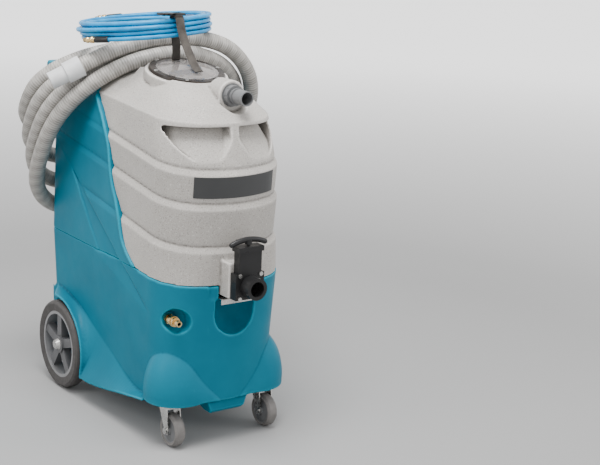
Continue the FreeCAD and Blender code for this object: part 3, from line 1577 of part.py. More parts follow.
def vacuum_hose_coil():
    wire = vacuum_coil_wire()
    heading = loop_point(loop_first_turn, 3)[1]
    shape = pipe(wire, vac_hose_radius, wire.Edges[0].Vertexes[0].Point, heading)
    share = shape.Volume / (math.pi * vac_hose_radius ** 2 * wire.Length)
    print("vacuum_hose_coil length", round(wire.Length), "gap", round(least_gap(wire, vac_hose_radius), 2),
          "volume share", round(share, 3))
    return shape


coil_center = Vector(-12, 150, 1045.5)
coil_outer_radius = 180.0
coil_lean = Rotation(Y, -4.2).multiply(Rotation(X, -4.0))
coil_layers = 4
coil_layer_pitch = 12.7
coil_turn_pitch = 14.4
coil_layer_turns = 1.5
coil_start_angle = 200.0


def solution_coil_wire():
    """Four layers that spiral in and out again, with a climb in each half turn between them."""
    quarters = int(coil_layer_turns * 4)
    low = -coil_layer_pitch * (coil_layers - 1) / 2
    stations = []
    radius = coil_outer_radius
    angle = 0
    for layer in range(coil_layers):
        step = -coil_turn_pitch / 4 if layer % 2 == 0 else coil_turn_pitch / 4
        height = low + coil_layer_pitch * layer
        for index in range(quarters):
            stations.append((angle, radius, height))
            angle += 90
            radius += step
        stations.append((angle, radius, height))
        angle += 90
        if layer < coil_layers - 1:
            stations.append((angle, radius, height + coil_layer_pitch / 2))
            angle += 90
    points = []
    for angle, radius, height in stations:
        turn = math.radians(angle + coil_start_angle)
        spoke = Vector(math.cos(turn), math.sin(turn), 0)
        heading = Vector(-math.sin(turn), math.cos(turn), 0)
        points.append((coil_center + coil_lean.multVec(spoke * radius + Z * height),
                       coil_lean.multVec(heading)))
    edges = []
    for (p0, t0), (p1, t1) in zip(points, points[1:]):
        edges += biarc(p0, t0, p1, t1)
    return Part.Wire(edges), points


def solution_hose_coil():
    wire, points = solution_coil_wire()
    shape = pipe(wire, solution_hose_radius, *points[0])
    share = shape.Volume / (math.pi * solution_hose_radius ** 2 * wire.Length)
    print("solution_hose_coil length", round(wire.Length), "gap",
          round(least_gap(wire, solution_hose_radius, 6), 2),
          "volume share", round(share, 3))
    return shape


upper_hose_points = [(338.2, 196.6, 753.1), (338.2, 146, 819.4), (318, 119, 890), (277, 106, 947),
                     (216, 95, 991), (142, 90, 1012),
                     (63, 89, 1020), (-23, 92, 1017), (-102, 108, 995), (-163, 126, 968), (-206, 140, 945)]


def vacuum_hose_end():
    return hose("vacuum_hose_end", upper_hose_points, vac_hose_radius)


def cuff(end, axis):
    """Stepped cuff whose wide half starts on an end of the vacuum hose."""
    turn = axis.cross(Z)
    turn.normalize()
    r = vac_hose_radius
    return lathe([(r - 5, 0), (r + 6, 0), (r + 6, 46), (r + 1, 48), (r + 1, 92), (r - 5, 92)], end, axis,
                 turn)


def hose_cuff():
    """Cuffs on the upper free end and on the end behind the machine."""
    last, before = Vector(*upper_hose_points[-1]), Vector(*upper_hose_points[-2])
    axis = last - before
    axis.normalize()
    first_run = vacuum_coil_wire().Edges[0]
    tail = first_run.Vertexes[0].Point
    heading = tail - first_run.Vertexes[-1].Point
    heading.normalize()
    return Part.makeCompound([cuff(last, axis), cuff(tail, heading)])


strap_outline = [(-124, 949.5), (-92, 957.0), (-44, 1028), (-40, 1077), (-31, 1087.5), (-5, 1087.5),
                 (3, 1079), (3.5, 1030),
                 (3.5, 985), (6, 968.5)]


def band(points, thickness):
    """Outline of a strip of even thickness along a line of (y, z) points."""
    line = [Vector(0, y, z) for y, z in points]
    sides = [[], []]
    for index, point in enumerate(line):
        before = line[index] - line[index - 1] if index else line[1] - line[0]
        after = line[index + 1] - line[index] if index < len(line) - 1 else before
        before.normalize()
        after.normalize()
        normal = X.cross(before + after)
        normal.normalize()
        reach = thickness / 2 / normal.dot(X.cross(after))
        sides[0].append(point + normal * reach)
        sides[1].append(point - normal * reach)
    return sides[0] + sides[1][::-1]


def strap():
    """Webbing strap round the near side of the coil, held at the lid and behind it."""
    shape = extrude(band(strap_outline, strap_thickness), X * strap_width)
    shape.translate(Vector(-strap_width / 2 + 4, 0, 0))
    return shape


def strap_buckle():
    frame = box(-62, -4, -38, -6, 1088.8, 1092.5)
    bar = rod(3.5, Vector(-58, -22, 1095), X, 50)
    return frame.fuse(bar)


os.makedirs("parts", exist_ok=True)
grey_body = tank_body(grey_groove_depth, grey_inset)
save("base_housing", base_housing())
save("recovery_tank", recovery_tank(grey_body))
save("solution_tank", solution_tank())
save("badge", badge(grey_body))
for name, maker in (
    ("lid_ring", lid_ring), ("lid_screws", lid_screws), ("lid_gasket", lid_gasket), ("clear_lid", clear_lid),
    ("inlet_barb", inlet_barb), ("inlet_nut", inlet_nut), ("standpipe", standpipe), ("float_cage",
                                                                                     float_cage),
    ("float_ball", float_ball), ("valve_body_rear", valve_body_rear), ("valve_body_front", valve_body_front),
    ("valve_cap", valve_cap), ("valve_bolts", valve_bolts), ("gate_blade", gate_blade),
    ("gate_handle", gate_handle), ("rear_axle", rear_axle), ("axle_nuts", axle_nuts), ("hinge_pin",
                                                                                       hinge_pin),
    ("caster_bolts", caster_bolts), ("strike_plate", strike_plate), ("strike_screws", strike_screws),
    ("coupler_body", coupler_body), ("coupler_sleeve", coupler_sleeve), ("switch_bezels", switch_bezels),
    ("power_inlet", power_inlet), ("vac_fan_housing", vac_fan_housing), ("vac_motor_can", vac_motor_can),
    ("vac_intake", vac_intake),
    ("exhaust_hose", exhaust_hose), ("pump_motor", pump_motor), ("pump_head", pump_head),
    ("pump_fittings", pump_fittings), ("pump_bracket", pump_bracket), ("tank_fitting", tank_fitting),
    ("vacuum_hose_coil", vacuum_hose_coil), ("vacuum_hose_end", vacuum_hose_end), ("hose_cuff", hose_cuff),
    ("solution_hose_coil", solution_hose_coil), ("strap", strap), ("strap_buckle", strap_buckle),
):
    save(name, maker())
save("supply_tube", hose("supply_tube", supply_tube_points, 4.5))
save("pressure_tube", hose("pressure_tube", pressure_tube_points, 4.5))
for side, word in ((-1, "left"), (1, "right")):
    save(word + "_tyre", tyre(side))
    save(word + "_hub", wheel_hub(side))
    save(word + "_caster_plate", caster_plate(side))
    save(word + "_caster_fork", caster_fork(side))
    save(word + "_caster_core", caster_core(side))
    save(word + "_caster_tread", caster_tread(side))
for index, x in enumerate(switch_x):
    save("rocker_switch_" + str(index + 1), rocker_switch(x))
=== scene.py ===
import math

import bmesh
import bpy
from mathutils import Matrix, Vector
from mathutils.bvhtree import BVHTree
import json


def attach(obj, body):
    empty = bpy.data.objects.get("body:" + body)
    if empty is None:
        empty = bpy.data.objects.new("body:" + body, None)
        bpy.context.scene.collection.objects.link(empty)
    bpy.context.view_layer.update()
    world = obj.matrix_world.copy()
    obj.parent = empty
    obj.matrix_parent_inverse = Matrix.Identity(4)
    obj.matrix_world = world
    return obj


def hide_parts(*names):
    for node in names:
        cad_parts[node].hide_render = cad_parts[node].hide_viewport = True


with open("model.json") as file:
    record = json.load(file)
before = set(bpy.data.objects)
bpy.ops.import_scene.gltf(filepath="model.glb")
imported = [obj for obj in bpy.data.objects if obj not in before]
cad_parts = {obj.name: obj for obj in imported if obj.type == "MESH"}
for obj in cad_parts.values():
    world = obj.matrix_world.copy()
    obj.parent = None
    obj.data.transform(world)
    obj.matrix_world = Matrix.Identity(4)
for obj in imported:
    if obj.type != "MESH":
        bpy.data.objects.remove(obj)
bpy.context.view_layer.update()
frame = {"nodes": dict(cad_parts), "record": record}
nodes = frame["nodes"]
print("frame loaded:", len(nodes), "nodes")


# Camera, floor and lights

studio = {
    "cameraPlace": (-1.7667, -3.0537, 1.3981),
    "yaw": 35.72,
    "pitch": 14.17,
    "roll": 2.39,
    "lens": 79.34,
    "sensor": 36.0,
    "floorSize": 90.0,
    "floorNear": 0.32,                  # tone of the floor round the machine
    "floorFar": 0.92,                   # and far behind it
    "floorGlow": 1.0,                   # light that the far floor gives off
    "fadeReach": 20.0,                  # distance that counts as 1 in the two fades
    "floorFade": (0.10, 0.45),
    "glowFade": (0.08, 0.40),
    "worldTone": 0.97,
    "worldStrength": 1.25,
    "softboxes": {                      # place, target, size and power
        "topSoftbox": ((-0.5, -0.6, 3.3), (0, 0, 0.6), (1.5, 1.5), 150),
        "leftSoftbox": ((-3.2, 0.0, 2.3), (0, 0, 0.6), (1.2, 1.8), 36),
        "rightSoftbox": ((2.6, -2.2, 1.7), (0, 0, 0.5), (1.2, 1.8), 26),
    },
}


def addCamera():
    data = bpy.data.cameras.new("photoCamera")
    data.lens = studio["lens"]
    data.sensor_width = studio["sensor"]
    data.sensor_fit = "HORIZONTAL"
    camera = bpy.data.objects.new("photoCamera", data)
    turn = Matrix.Rotation(math.radians(-studio["yaw"]), 3, "Z")
    turn = turn @ Matrix.Rotation(math.radians(90 - studio["pitch"]), 3, "X")
    turn = turn @ Matrix.Rotation(math.radians(studio["roll"]), 3, "Z")
    camera.matrix_world = Matrix.Translation(studio["cameraPlace"]) @ turn.to_4x4()
    bpy.context.scene.collection.objects.link(camera)
    bpy.context.scene.camera = camera


def addFloor():
    near, far = (studio["floorNear"],) * 3, (studio["floorFar"],) * 3
    work = bmesh.new()
    bmesh.ops.create_grid(work, x_segments=1, y_segments=1, size=studio["floorSize"] / 2)
    floor = meshPiece("studioFloor", work)
    surface, tree, shader = newMaterial("paleFloor", near, 0.7, Specular_IOR_Level=0.2)
    place = tree.nodes.new("ShaderNodeTexCoord")
    shrink = tree.nodes.new("ShaderNodeMapping")
    shrink.inputs["Scale"].default_value = (1 / studio["fadeReach"],) * 3
    distance = tree.nodes.new("ShaderNodeVectorMath")
    distance.operation = "LENGTH"
    tree.links.new(place.outputs["Object"], shrink.inputs["Vector"])
    tree.links.new(shrink.outputs["Vector"], distance.inputs[0])
    tint(tree, shader, distance.outputs["Value"], near, far, studio["floorFade"])
    glow = ramp(tree, distance.outputs["Value"], (0, 0, 0), (studio["floorGlow"],) * 3, studio["glowFade"])
    tree.links.new(glow, shader.inputs["Emission Strength"])
    shader.inputs["Emission Color"].default_value = (1, 1, 1, 1)
    floor.data.materials.append(surface)


def addLamp(name, place, target, size, power):
    data = bpy.data.lights.new(name, "AREA")
    data.shape = "RECTANGLE"
    data.size, data.size_y = size
    data.energy = power
    lamp = bpy.data.objects.new(name, data)
    aim = Vector(target) - Vector(place)
    lamp.matrix_world = Matrix.Translation(place) @ aim.to_track_quat("-Z", "Y").to_matrix().to_4x4()
    bpy.context.scene.collection.objects.link(lamp)


def addLights():
    world = bpy.data.worlds.new("paleStudio")
    bpy.context.scene.world = world
    world.use_nodes = True
    sky = world.node_tree.nodes["Background"]
    sky.inputs["Color"].default_value = (studio["worldTone"],) * 3 + (1,)
    sky.inputs["Strength"].default_value = studio["worldStrength"]
    for name, (place, target, size, power) in studio["softboxes"].items():
        addLamp(name, place, target, size, power)


# Small makers that the pieces share

def meshPiece(name, work):
    mesh = bpy.data.meshes.new(name)
    work.to_mesh(mesh)
    work.free()
    for face in mesh.polygons:
        face.use_smooth = True
    piece = bpy.data.objects.new(name, mesh)
    bpy.context.scene.collection.objects.link(piece)
    return piece


def newMaterial(name, color, roughness, metallic=0.0, **sockets):
    surface = bpy.data.materials.new(name)
    surface.use_nodes = True
    tree = surface.node_tree
    shader = tree.nodes["Principled BSDF"]
    shader.inputs["Base Color"].default_value = (*color, 1)
    shader.inputs["Roughness"].default_value = roughness
    shader.inputs["Metallic"].default_value = metallic
    for label, value in sockets.items():
        shader.inputs[label.replace("_", " ")].default_value = value
    return surface, tree, shader


def noiseNode(tree, scale, detail=2.0, stretch=(1, 1, 1)):
    place = tree.nodes.new("ShaderNodeTexCoord")
    mapping = tree.nodes.new("ShaderNodeMapping")
    mapping.inputs["Scale"].default_value = stretch
    noise = tree.nodes.new("ShaderNodeTexNoise")
    noise.inputs["Scale"].default_value = scale
    noise.inputs["Detail"].default_value = detail
    tree.links.new(place.outputs["Object"], mapping.inputs["Vector"])
    tree.links.new(mapping.outputs["Vector"], noise.inputs["Vector"])
    return noise.outputs["Fac"]


def ramp(tree, source, low, high, spread=(0.35, 0.65)):
    node = tree.nodes.new("ShaderNodeValToRGB")
    node.color_ramp.elements[0].position = spread[0]
    node.color_ramp.elements[1].position = spread[1]
    node.color_ramp.elements[0].color = (*low, 1)
    node.color_ramp.elements[1].color = (*high, 1)
    tree.links.new(source, node.inputs["Fac"])
    return node.outputs["Color"]


def tint(tree, shader, source, low, high, spread=(0.35, 0.65)):
    tree.links.new(ramp(tree, source, low, high, spread), shader.inputs["Base Color"])


def blendColors(tree, factor, first, second, kind="MIX"):
    node = tree.nodes.new("ShaderNodeMix")
    node.data_type = "RGBA"
    node.blend_type = kind
    sockets = (node.inputs["Factor"], node.inputs[6], node.inputs[7])    # 6 and 7 are the two colors, A and B
    for socket, source in zip(sockets, (factor, first, second)):
        if isinstance(source, (int, float)):
            socket.default_value = source
        elif isinstance(source, tuple):
            socket.default_value = (*source, 1)
        else:
            tree.links.new(source, socket)
    return node.outputs[2]


def roughen(tree, shader, source, low, high):
    spread = tree.nodes.new("ShaderNodeMapRange")
    limits = {"From Min": 0.3, "From Max": 0.7, "To Min": low, "To Max": high}    # noise fills 0.3 to 0.7
    for label, value in limits.items():
        spread.inputs[label].default_value = value
    tree.links.new(source, spread.inputs["Value"])
    tree.links.new(spread.outputs["Result"], shader.inputs["Roughness"])


def bump(tree, shader, source, depth, strength=1.0):
    node = tree.nodes.new("ShaderNodeBump")
    node.inputs["Distance"].default_value = depth
    node.inputs["Strength"].default_value = strength
    tree.links.new(source, node.inputs["Height"])
    before = shader.inputs["Normal"].links
    if before:
        tree.links.new(before[0].from_socket, node.inputs["Normal"])
    tree.links.new(node.outputs["Normal"], shader.inputs["Normal"])


def routeCurve(name, points):
    data = bpy.data.curves.new(name, "CURVE")
    data.dimensions = "3D"
    spline = data.splines.new("NURBS")
    spline.points.add(len(points) - 1)
    for knot, point in zip(spline.points, points):
        knot.co = (*point, 1)
    spline.order_u = 3
    spline.use_endpoint_u = True
    data.resolution_u = 12
    curve = bpy.data.objects.new(name, data)
    bpy.context.scene.collection.objects.link(curve)
    return curve


def evenPath(curve, step):
    mesh = bpy.data.meshes.new_from_object(curve)
    line = [vertex.co.copy() for vertex in mesh.vertices]
    bpy.data.meshes.remove(mesh)
    total = sum((after - before).length for before, after in zip(line, line[1:]))
    count = max(2, round(total / step))
    path = [line[0]]
    wanted, walked = total / count, 0.0
    for before, after in zip(line, line[1:]):
        length = (after - before).length
        while length and walked + length >= wanted * len(path) - 1e-9 and len(path) < count:
            share = (wanted * len(path) - walked) / length
            path.append(before.lerp(after, share))
        walked += length
    path.append(line[-1])
    return path, total


def evenPoints(points, step):
    route = routeCurve("guideLine", points)
    path, length = evenPath(route, step)
    bpy.data.objects.remove(route)
    return path, length


def tubeAlong(name, path, radius, sides, radii=None):
    data = bpy.data.curves.new(name + "Line", "CURVE")
    data.dimensions = "3D"
    spline = data.splines.new("POLY")
    spline.points.add(len(path) - 1)
    for index, (knot, point) in enumerate(zip(spline.points, path)):
        knot.co = (*point, 1)
        knot.radius = radii[index] if radii else 1.0
    data.bevel_depth = radius
    data.bevel_resolution = sides // 4 - 1
    data.use_fill_caps = True
    line = bpy.data.objects.new(name + "Line", data)
    bpy.context.scene.collection.objects.link(line)
    mesh = bpy.data.meshes.new_from_object(line)
    mesh.name = name
    bpy.data.objects.remove(line)
    for face in mesh.polygons:
        face.use_smooth = True
    piece = bpy.data.objects.new(name, mesh)
    bpy.context.scene.collection.objects.link(piece)
    return piece


# Finishes

# Painted light on the moulded shells: painted shade darkens the folds and grooves, and a painted highlight
# lightens the edges, both read from the mesh's pointiness
creaseLightLook = {
    "folds": (0.468, 0.494),            # pointiness where the painted shade in a fold is darkest, and where it ends
    "edges": (0.506, 0.535),            # and where the painted highlight on an edge starts, and is brightest
}


# Multiplies painted shade into the folds and adds a painted highlight on the edges
def paintedCreaseLight(tree, color, fold, edge):
    shape = tree.nodes.new("ShaderNodeNewGeometry")
    dark = ramp(tree, shape.outputs["Pointiness"], fold, (1, 1, 1), creaseLightLook["folds"])
    light = ramp(tree, shape.outputs["Pointiness"], (0, 0, 0), edge, creaseLightLook["edges"])
    return blendColors(tree, 1.0, blendColors(tree, 1.0, color, dark, "MULTIPLY"), light, "ADD")


tealLook = {
    "low": (0.000, 0.128, 0.196),
    "high": (0.000, 0.148, 0.222),
    "scuff": (0.0, 0.21, 0.29),
    # fold is the painted shade in folds, as a share of the color; edge is the painted highlight added on
    # edges
    "fold": (0.35, 0.45, 0.5),
    "edge": (0.0, 0.07, 0.09),
    "specular": 0.12,
    "roughness": (0.36, 0.50),
    "cloudScale": 7.0,
    "scuffScale": 90.0,
    "scuffFrom": (0.68, 0.78),          # noise level where a scuff starts, and is full
    "scuffShare": 0.25,
    "glossScale": 16.0,
    "grainScale": 420.0,
    "grainDepth": 0.00006,
    "waveScale": 26.0,
    "waveDepth": 0.0005,
    "waveStrength": 0.35,
}


def moldedTeal():
    look = tealLook
    surface, tree, shader = newMaterial("moldedTeal", look["high"], 0.45, Specular_IOR_Level=look["specular"])
    body = ramp(tree, noiseNode(tree, look["cloudScale"], 4.0), look["low"], look["high"])
    scuffs = noiseNode(tree, look["scuffScale"], 6.0, (1, 1, 0.25))
    marks = ramp(tree, scuffs, (0, 0, 0), (1, 1, 1), look["scuffFrom"])
    scuffed = blendColors(tree, look["scuffShare"], body, blendColors(tree, marks, body, look["scuff"]))
    # Painted shade in the folds and a painted highlight on the edges, over the cloudy tone and the scuffs
    wearAndPaintedCreaseLight = paintedCreaseLight(tree, scuffed, look["fold"], look["edge"])
    tree.links.new(wearAndPaintedCreaseLight, shader.inputs["Base Color"])
    roughen(tree, shader, noiseNode(tree, look["glossScale"], 4.0), *look["roughness"])
    bump(tree, shader, noiseNode(tree, look["grainScale"]), look["grainDepth"])
    bump(tree, shader, noiseNode(tree, look["waveScale"]), look["waveDepth"], look["waveStrength"])
    return surface


graniteLook = {
    "low": (0.350, 0.331, 0.308),
    "high": (0.405, 0.383, 0.356),
    "speck": (0.15, 0.142, 0.134),
    "fleck": (0.64, 0.62, 0.59),
    # fold is the painted shade in folds, as a share of the color; edge is the painted highlight added on
    # edges
    "fold": (0.45, 0.44, 0.43),
    "edge": (0.14, 0.135, 0.13),
    "specular": 0.3,
    "roughness": (0.46, 0.60),
    "cloudScale": 6.0,
    "speckScale": 360.0,
    "speckTo": (0.32, 0.42),            # noise level below which a dark speck is full, and ends
    "speckShare": 0.75,
    "fleckScale": 288.0,
    "fleckFrom": (0.60, 0.70),          # and above which a light fleck starts, and is full
    "fleckShare": 0.5,
    "glossScale": 18.0,
    "grainScale": 380.0,
    "grainDepth": 0.00008,
    "waveScale": 24.0,
    "waveDepth": 0.0006,
    "waveStrength": 0.35,
}


def speckledGrey():
    look = graniteLook
    surface, tree, shader = newMaterial("speckledGrey", look["high"], 0.5,
                                        Specular_IOR_Level=look["specular"])
    body = ramp(tree, noiseNode(tree, look["cloudScale"], 3.0), look["low"], look["high"])
    darks = ramp(tree, noiseNode(tree, look["speckScale"]), (1, 1, 1), (0, 0, 0), look["speckTo"])
    lights = ramp(tree, noiseNode(tree, look["fleckScale"]), (0, 0, 0), (1, 1, 1), look["fleckFrom"])
    dotted = blendColors(tree, look["speckShare"], body, blendColors(tree, darks, body, look["speck"]))
    flecked = blendColors(tree, look["fleckShare"], dotted, blendColors(tree, lights, dotted, look["fleck"]))
    # Painted shade in the folds and a painted highlight on the edges, over the speckled tone
    wearAndPaintedCreaseLight = paintedCreaseLight(tree, flecked, look["fold"], look["edge"])
    tree.links.new(wearAndPaintedCreaseLight, shader.inputs["Base Color"])
    roughen(tree, shader, noiseNode(tree, look["glossScale"], 4.0), *look["roughness"])
    bump(tree, shader, noiseNode(tree, look["grainScale"]), look["grainDepth"])
    bump(tree, shader, noiseNode(tree, look["waveScale"]), look["waveDepth"], look["waveStrength"])
    return surface


plasticLook = {"patchScale": 22.0, "glossScale": 40.0, "duller": 0.08, "shinier": 0.05, "grainDepth": 0.00005}


def mouldedPlastic(name, color, roughness, variation=0.12, grainScale=500.0, gloss=0.5):
    look = plasticLook
    surface, tree, shader = newMaterial(name, color, roughness, Specular_IOR_Level=gloss)
    low = tuple(part * (1 - variation) for part in color)
    high = tuple(min(1.0, part * (1 + variation)) for part in color)
    tint(tree, shader, noiseNode(tree, look["patchScale"], 4.0), low, high)
    roughen(tree, shader, noiseNode(tree, look["glossScale"], 3.0), roughness - look["shinier"],
            roughness + look["duller"])
    bump(tree, shader, noiseNode(tree, grainScale), look["grainDepth"])
    return surface


steelLook = {
    "dull": 0.78,                       # the darkest patches, as a share of the color
    "patchScale": 55.0,
    "glossScale": 120.0,
    "shinier": 0.06,
    "duller": 0.14,
    "grainScale": 260.0,
    "grainDepth": 0.00004,
}


def platedSteel(name="zincPlate", color=(0.62, 0.61, 0.59), roughness=0.24):
    look = steelLook
    surface, tree, shader = newMaterial(name, color, roughness, 1.0)
    low = tuple(part * look["dull"] for part in color)
    tint(tree, shader, noiseNode(tree, look["patchScale"], 5.0), low, color)
    roughen(tree, shader, noiseNode(tree, look["glossScale"], 4.0), roughness - look["shinier"],
            roughness + look["duller"])
    bump(tree, shader, noiseNode(tree, look["grainScale"], 3.0), look["grainDepth"])
    return surface


brassLook = {
    "base": (0.78, 0.56, 0.27),
    "low": (0.60, 0.40, 0.17),
    "high": (0.86, 0.64, 0.33),
    "roughness": (0.14, 0.34),
    "patchScale": 90.0,
    "glossScale": 160.0,
    "turningScale": 900.0,
    "turningDepth": 0.00003,
}


def machinedBrass():
    look = brassLook
    surface, tree, shader = newMaterial("machinedBrass", look["base"], 0.22, 1.0)
    tint(tree, shader, noiseNode(tree, look["patchScale"], 5.0), look["low"], look["high"])
    roughen(tree, shader, noiseNode(tree, look["glossScale"], 4.0), *look["roughness"])
    bump(tree, shader, noiseNode(tree, look["turningScale"], 1.0, (1, 0.08, 1)), look["turningDepth"])
    return surface


domeLook = {
    "tone": (0.74, 0.70, 0.68),
    "transmission": 0.86,
    "ior": 1.49,
    "roughness": (0.02, 0.07),
    "glossScale": 30.0,
    "rippleScale": 17.0,
    "rippleDepth": 0.0022,
    "rippleStrength": 0.8,
}


def clearDome():
    look = domeLook
    surface, tree, shader = newMaterial("clearDome", look["tone"], 0.05)
    shader.inputs["Transmission Weight"].default_value = look["transmission"]
    shader.inputs["IOR"].default_value = look["ior"]
    roughen(tree, shader, noiseNode(tree, look["glossScale"], 3.0), *look["roughness"])
    bump(tree, shader, noiseNode(tree, look["rippleScale"], 1.5), look["rippleDepth"], look["rippleStrength"])
    return surface


greyVinylLook = {
    # crest is the hose's own color; valley is painted shade in the grooves between the ribs
    "crest": (0.46, 0.44, 0.41),
    "valley": (0.24, 0.228, 0.21),
    "dull": 0.9,                        # the darkest patches on the crests, as a share of their color
    "roughness": (0.36, 0.52),
    "patchScale": 30.0,
    "glossScale": 70.0,
}


def ribbedVinyl():
    look = greyVinylLook
    surface, tree, shader = newMaterial("greyHose", look["crest"], 0.42)
    rib = tree.nodes.new("ShaderNodeAttribute")
    rib.attribute_name = "rib"
    dull = tuple(part * look["dull"] for part in look["crest"])
    clouds = ramp(tree, noiseNode(tree, look["patchScale"], 3.0), dull, look["crest"])
    # Painted shade: the valleys between the ribs get the darker valley color
    mixed = blendColors(tree, rib.outputs["Fac"], look["valley"], clouds)
    tree.links.new(mixed, shader.inputs["Base Color"])
    roughen(tree, shader, noiseNode(tree, look["glossScale"], 3.0), *look["roughness"])
    return surface


blueVinylLook = {
    "base": (0.0, 0.24, 0.52),
    "low": (0.0, 0.19, 0.43),
    "high": (0.0, 0.28, 0.58),
    "specular": 0.3,
    "roughness": (0.24, 0.36),
    "patchScale": 28.0,
    "glossScale": 60.0,
    "grainScale": 90.0,
    "grainDepth": 0.00003,
}


def blueVinyl():
    look = blueVinylLook
    surface, tree, shader = newMaterial("blueVinyl", look["base"], 0.28, Specular_IOR_Level=look["specular"])
    tint(tree, shader, noiseNode(tree, look["patchScale"], 3.0), look["low"], look["high"])
    roughen(tree, shader, noiseNode(tree, look["glossScale"], 3.0), *look["roughness"])
    bump(tree, shader, noiseNode(tree, look["grainScale"]), look["grainDepth"])
    return surface


nylonLook = {
    "base": (0.075, 0.066, 0.058),
    "low": (0.050, 0.044, 0.038),
    "high": (0.095, 0.084, 0.074),
    "specular": 0.2,
    "sheen": 0.06,
    "roughness": (0.72, 0.88),
    "patchScale": 45.0,
    "cordScale": 190.0,                 # threads along the strap
    "cordDepth": 0.00035,
    "gap": (0.55, 0.55, 0.55),          # painted shade between them, as a share of the color
    "pickScale": 110.0,                 # threads across it
    "pickDepth": 0.0002,
    "unevenness": 0.3,
}


def bandNode(tree, direction, scale):
    weave = tree.nodes.new("ShaderNodeUVMap")
    weave.uv_map = "weave"
    bands = tree.nodes.new("ShaderNodeTexWave")
    bands.wave_type = "BANDS"
    bands.bands_direction = direction
    bands.inputs["Scale"].default_value = scale
    bands.inputs["Distortion"].default_value = nylonLook["unevenness"]
    tree.links.new(weave.outputs["UV"], bands.inputs["Vector"])
    return bands.outputs["Fac"]


def wovenNylon():
    look = nylonLook
    surface, tree, shader = newMaterial("wovenNylon", look["base"], 0.8, Specular_IOR_Level=look["specular"])
    cords, picks = bandNode(tree, "X", look["cordScale"]), bandNode(tree, "Y", look["pickScale"])
    wearAndPaintedCreaseLight = ramp(tree, noiseNode(tree, look["patchScale"], 4.0), look["low"], look["high"])
    # Painted shade in the gaps between the threads along the strap
    threads = blendColors(tree, cords, look["gap"], (1, 1, 1))
    tree.links.new(blendColors(tree, 1.0, wearAndPaintedCreaseLight, threads, "MULTIPLY"), shader.inputs["Base Color"])
    roughen(tree, shader, picks, *look["roughness"])
    bump(tree, shader, cords, look["cordDepth"])
    bump(tree, shader, picks, look["pickDepth"])
    shader.inputs["Sheen Weight"].default_value = look["sheen"]
    return surface


rubberLook = {
    "dull": 0.75,                       # the darkest patches, as a share of the color
    "roughness": (0.52, 0.72),
    "patchScale": 40.0,
    "glossScale": 90.0,
    "grainScale": 260.0,
    "grainDepth": 0.00012,
}


def tyreRubber(name, color):
    look = rubberLook
    surface, tree, shader = newMaterial(name, color, 0.62)
    low = tuple(part * look["dull"] for part in color)
    tint(tree, shader, noiseNode(tree, look["patchScale"], 5.0), low, color)
    roughen(tree, shader, noiseNode(tree, look["glossScale"], 3.0), *look["roughness"])
    bump(tree, shader, noiseNode(tree, look["grainScale"], 3.0), look["grainDepth"])
    return surface


ringLook = {
    "base": (0.016, 0.014, 0.012),
    "low": (0.012, 0.010, 0.009),
    "high": (0.030, 0.024, 0.020),
    "specular": 0.16,
    "roughness": (0.20, 0.34),
    "patchScale": 24.0,
    "glossScale": 55.0,
    "grainScale": 600.0,
    "grainDepth": 0.00004,
}


def rimRing():
    look = ringLook
    surface, tree, shader = newMaterial("smokedRing", look["base"], 0.26, Specular_IOR_Level=look["specular"])
    tint(tree, shader, noiseNode(tree, look["patchScale"], 4.0), look["low"], look["high"])
    roughen(tree, shader, noiseNode(tree, look["glossScale"], 4.0), *look["roughness"])
    bump(tree, shader, noiseNode(tree, look["grainScale"]), look["grainDepth"])
    return surface


wheelLook = {
    "axle": (0.273, 0.127),             # how far back and how high the axle is
    "web": (0.090, 0.091, 0.095),
    "lip": (0.22, 0.22, 0.225),
    "lipFrom": (0.084, 0.089),          # distance from the axle where the grey lip starts, and is full
    "dust": (0.8, 0.8, 0.8),
    "roughness": (0.36, 0.50),
    "dustScale": 30.0,
    "glossScale": 60.0,
    "grainScale": 420.0,
    "grainDepth": 0.00006,
}


def wheelWeb():
    look = wheelLook
    surface, tree, shader = newMaterial("wheelWeb", look["web"], 0.42)
    place = tree.nodes.new("ShaderNodeTexCoord")
    middle = tree.nodes.new("ShaderNodeMapping")
    middle.inputs["Location"].default_value = (0, -look["axle"][0], -look["axle"][1])
    middle.inputs["Scale"].default_value = (0, 1, 1)
    reach = tree.nodes.new("ShaderNodeVectorMath")
    reach.operation = "LENGTH"
    tree.links.new(place.outputs["Object"], middle.inputs["Vector"])
    tree.links.new(middle.outputs["Vector"], reach.inputs[0])
    rings = ramp(tree, reach.outputs["Value"], look["web"], look["lip"], look["lipFrom"])
    dust = ramp(tree, noiseNode(tree, look["dustScale"], 4.0), look["dust"], (1, 1, 1))
    tree.links.new(blendColors(tree, 1.0, rings, dust, "MULTIPLY"), shader.inputs["Base Color"])
    roughen(tree, shader, noiseNode(tree, look["glossScale"], 3.0), *look["roughness"])
    bump(tree, shader, noiseNode(tree, look["grainScale"]), look["grainDepth"])
    return surface


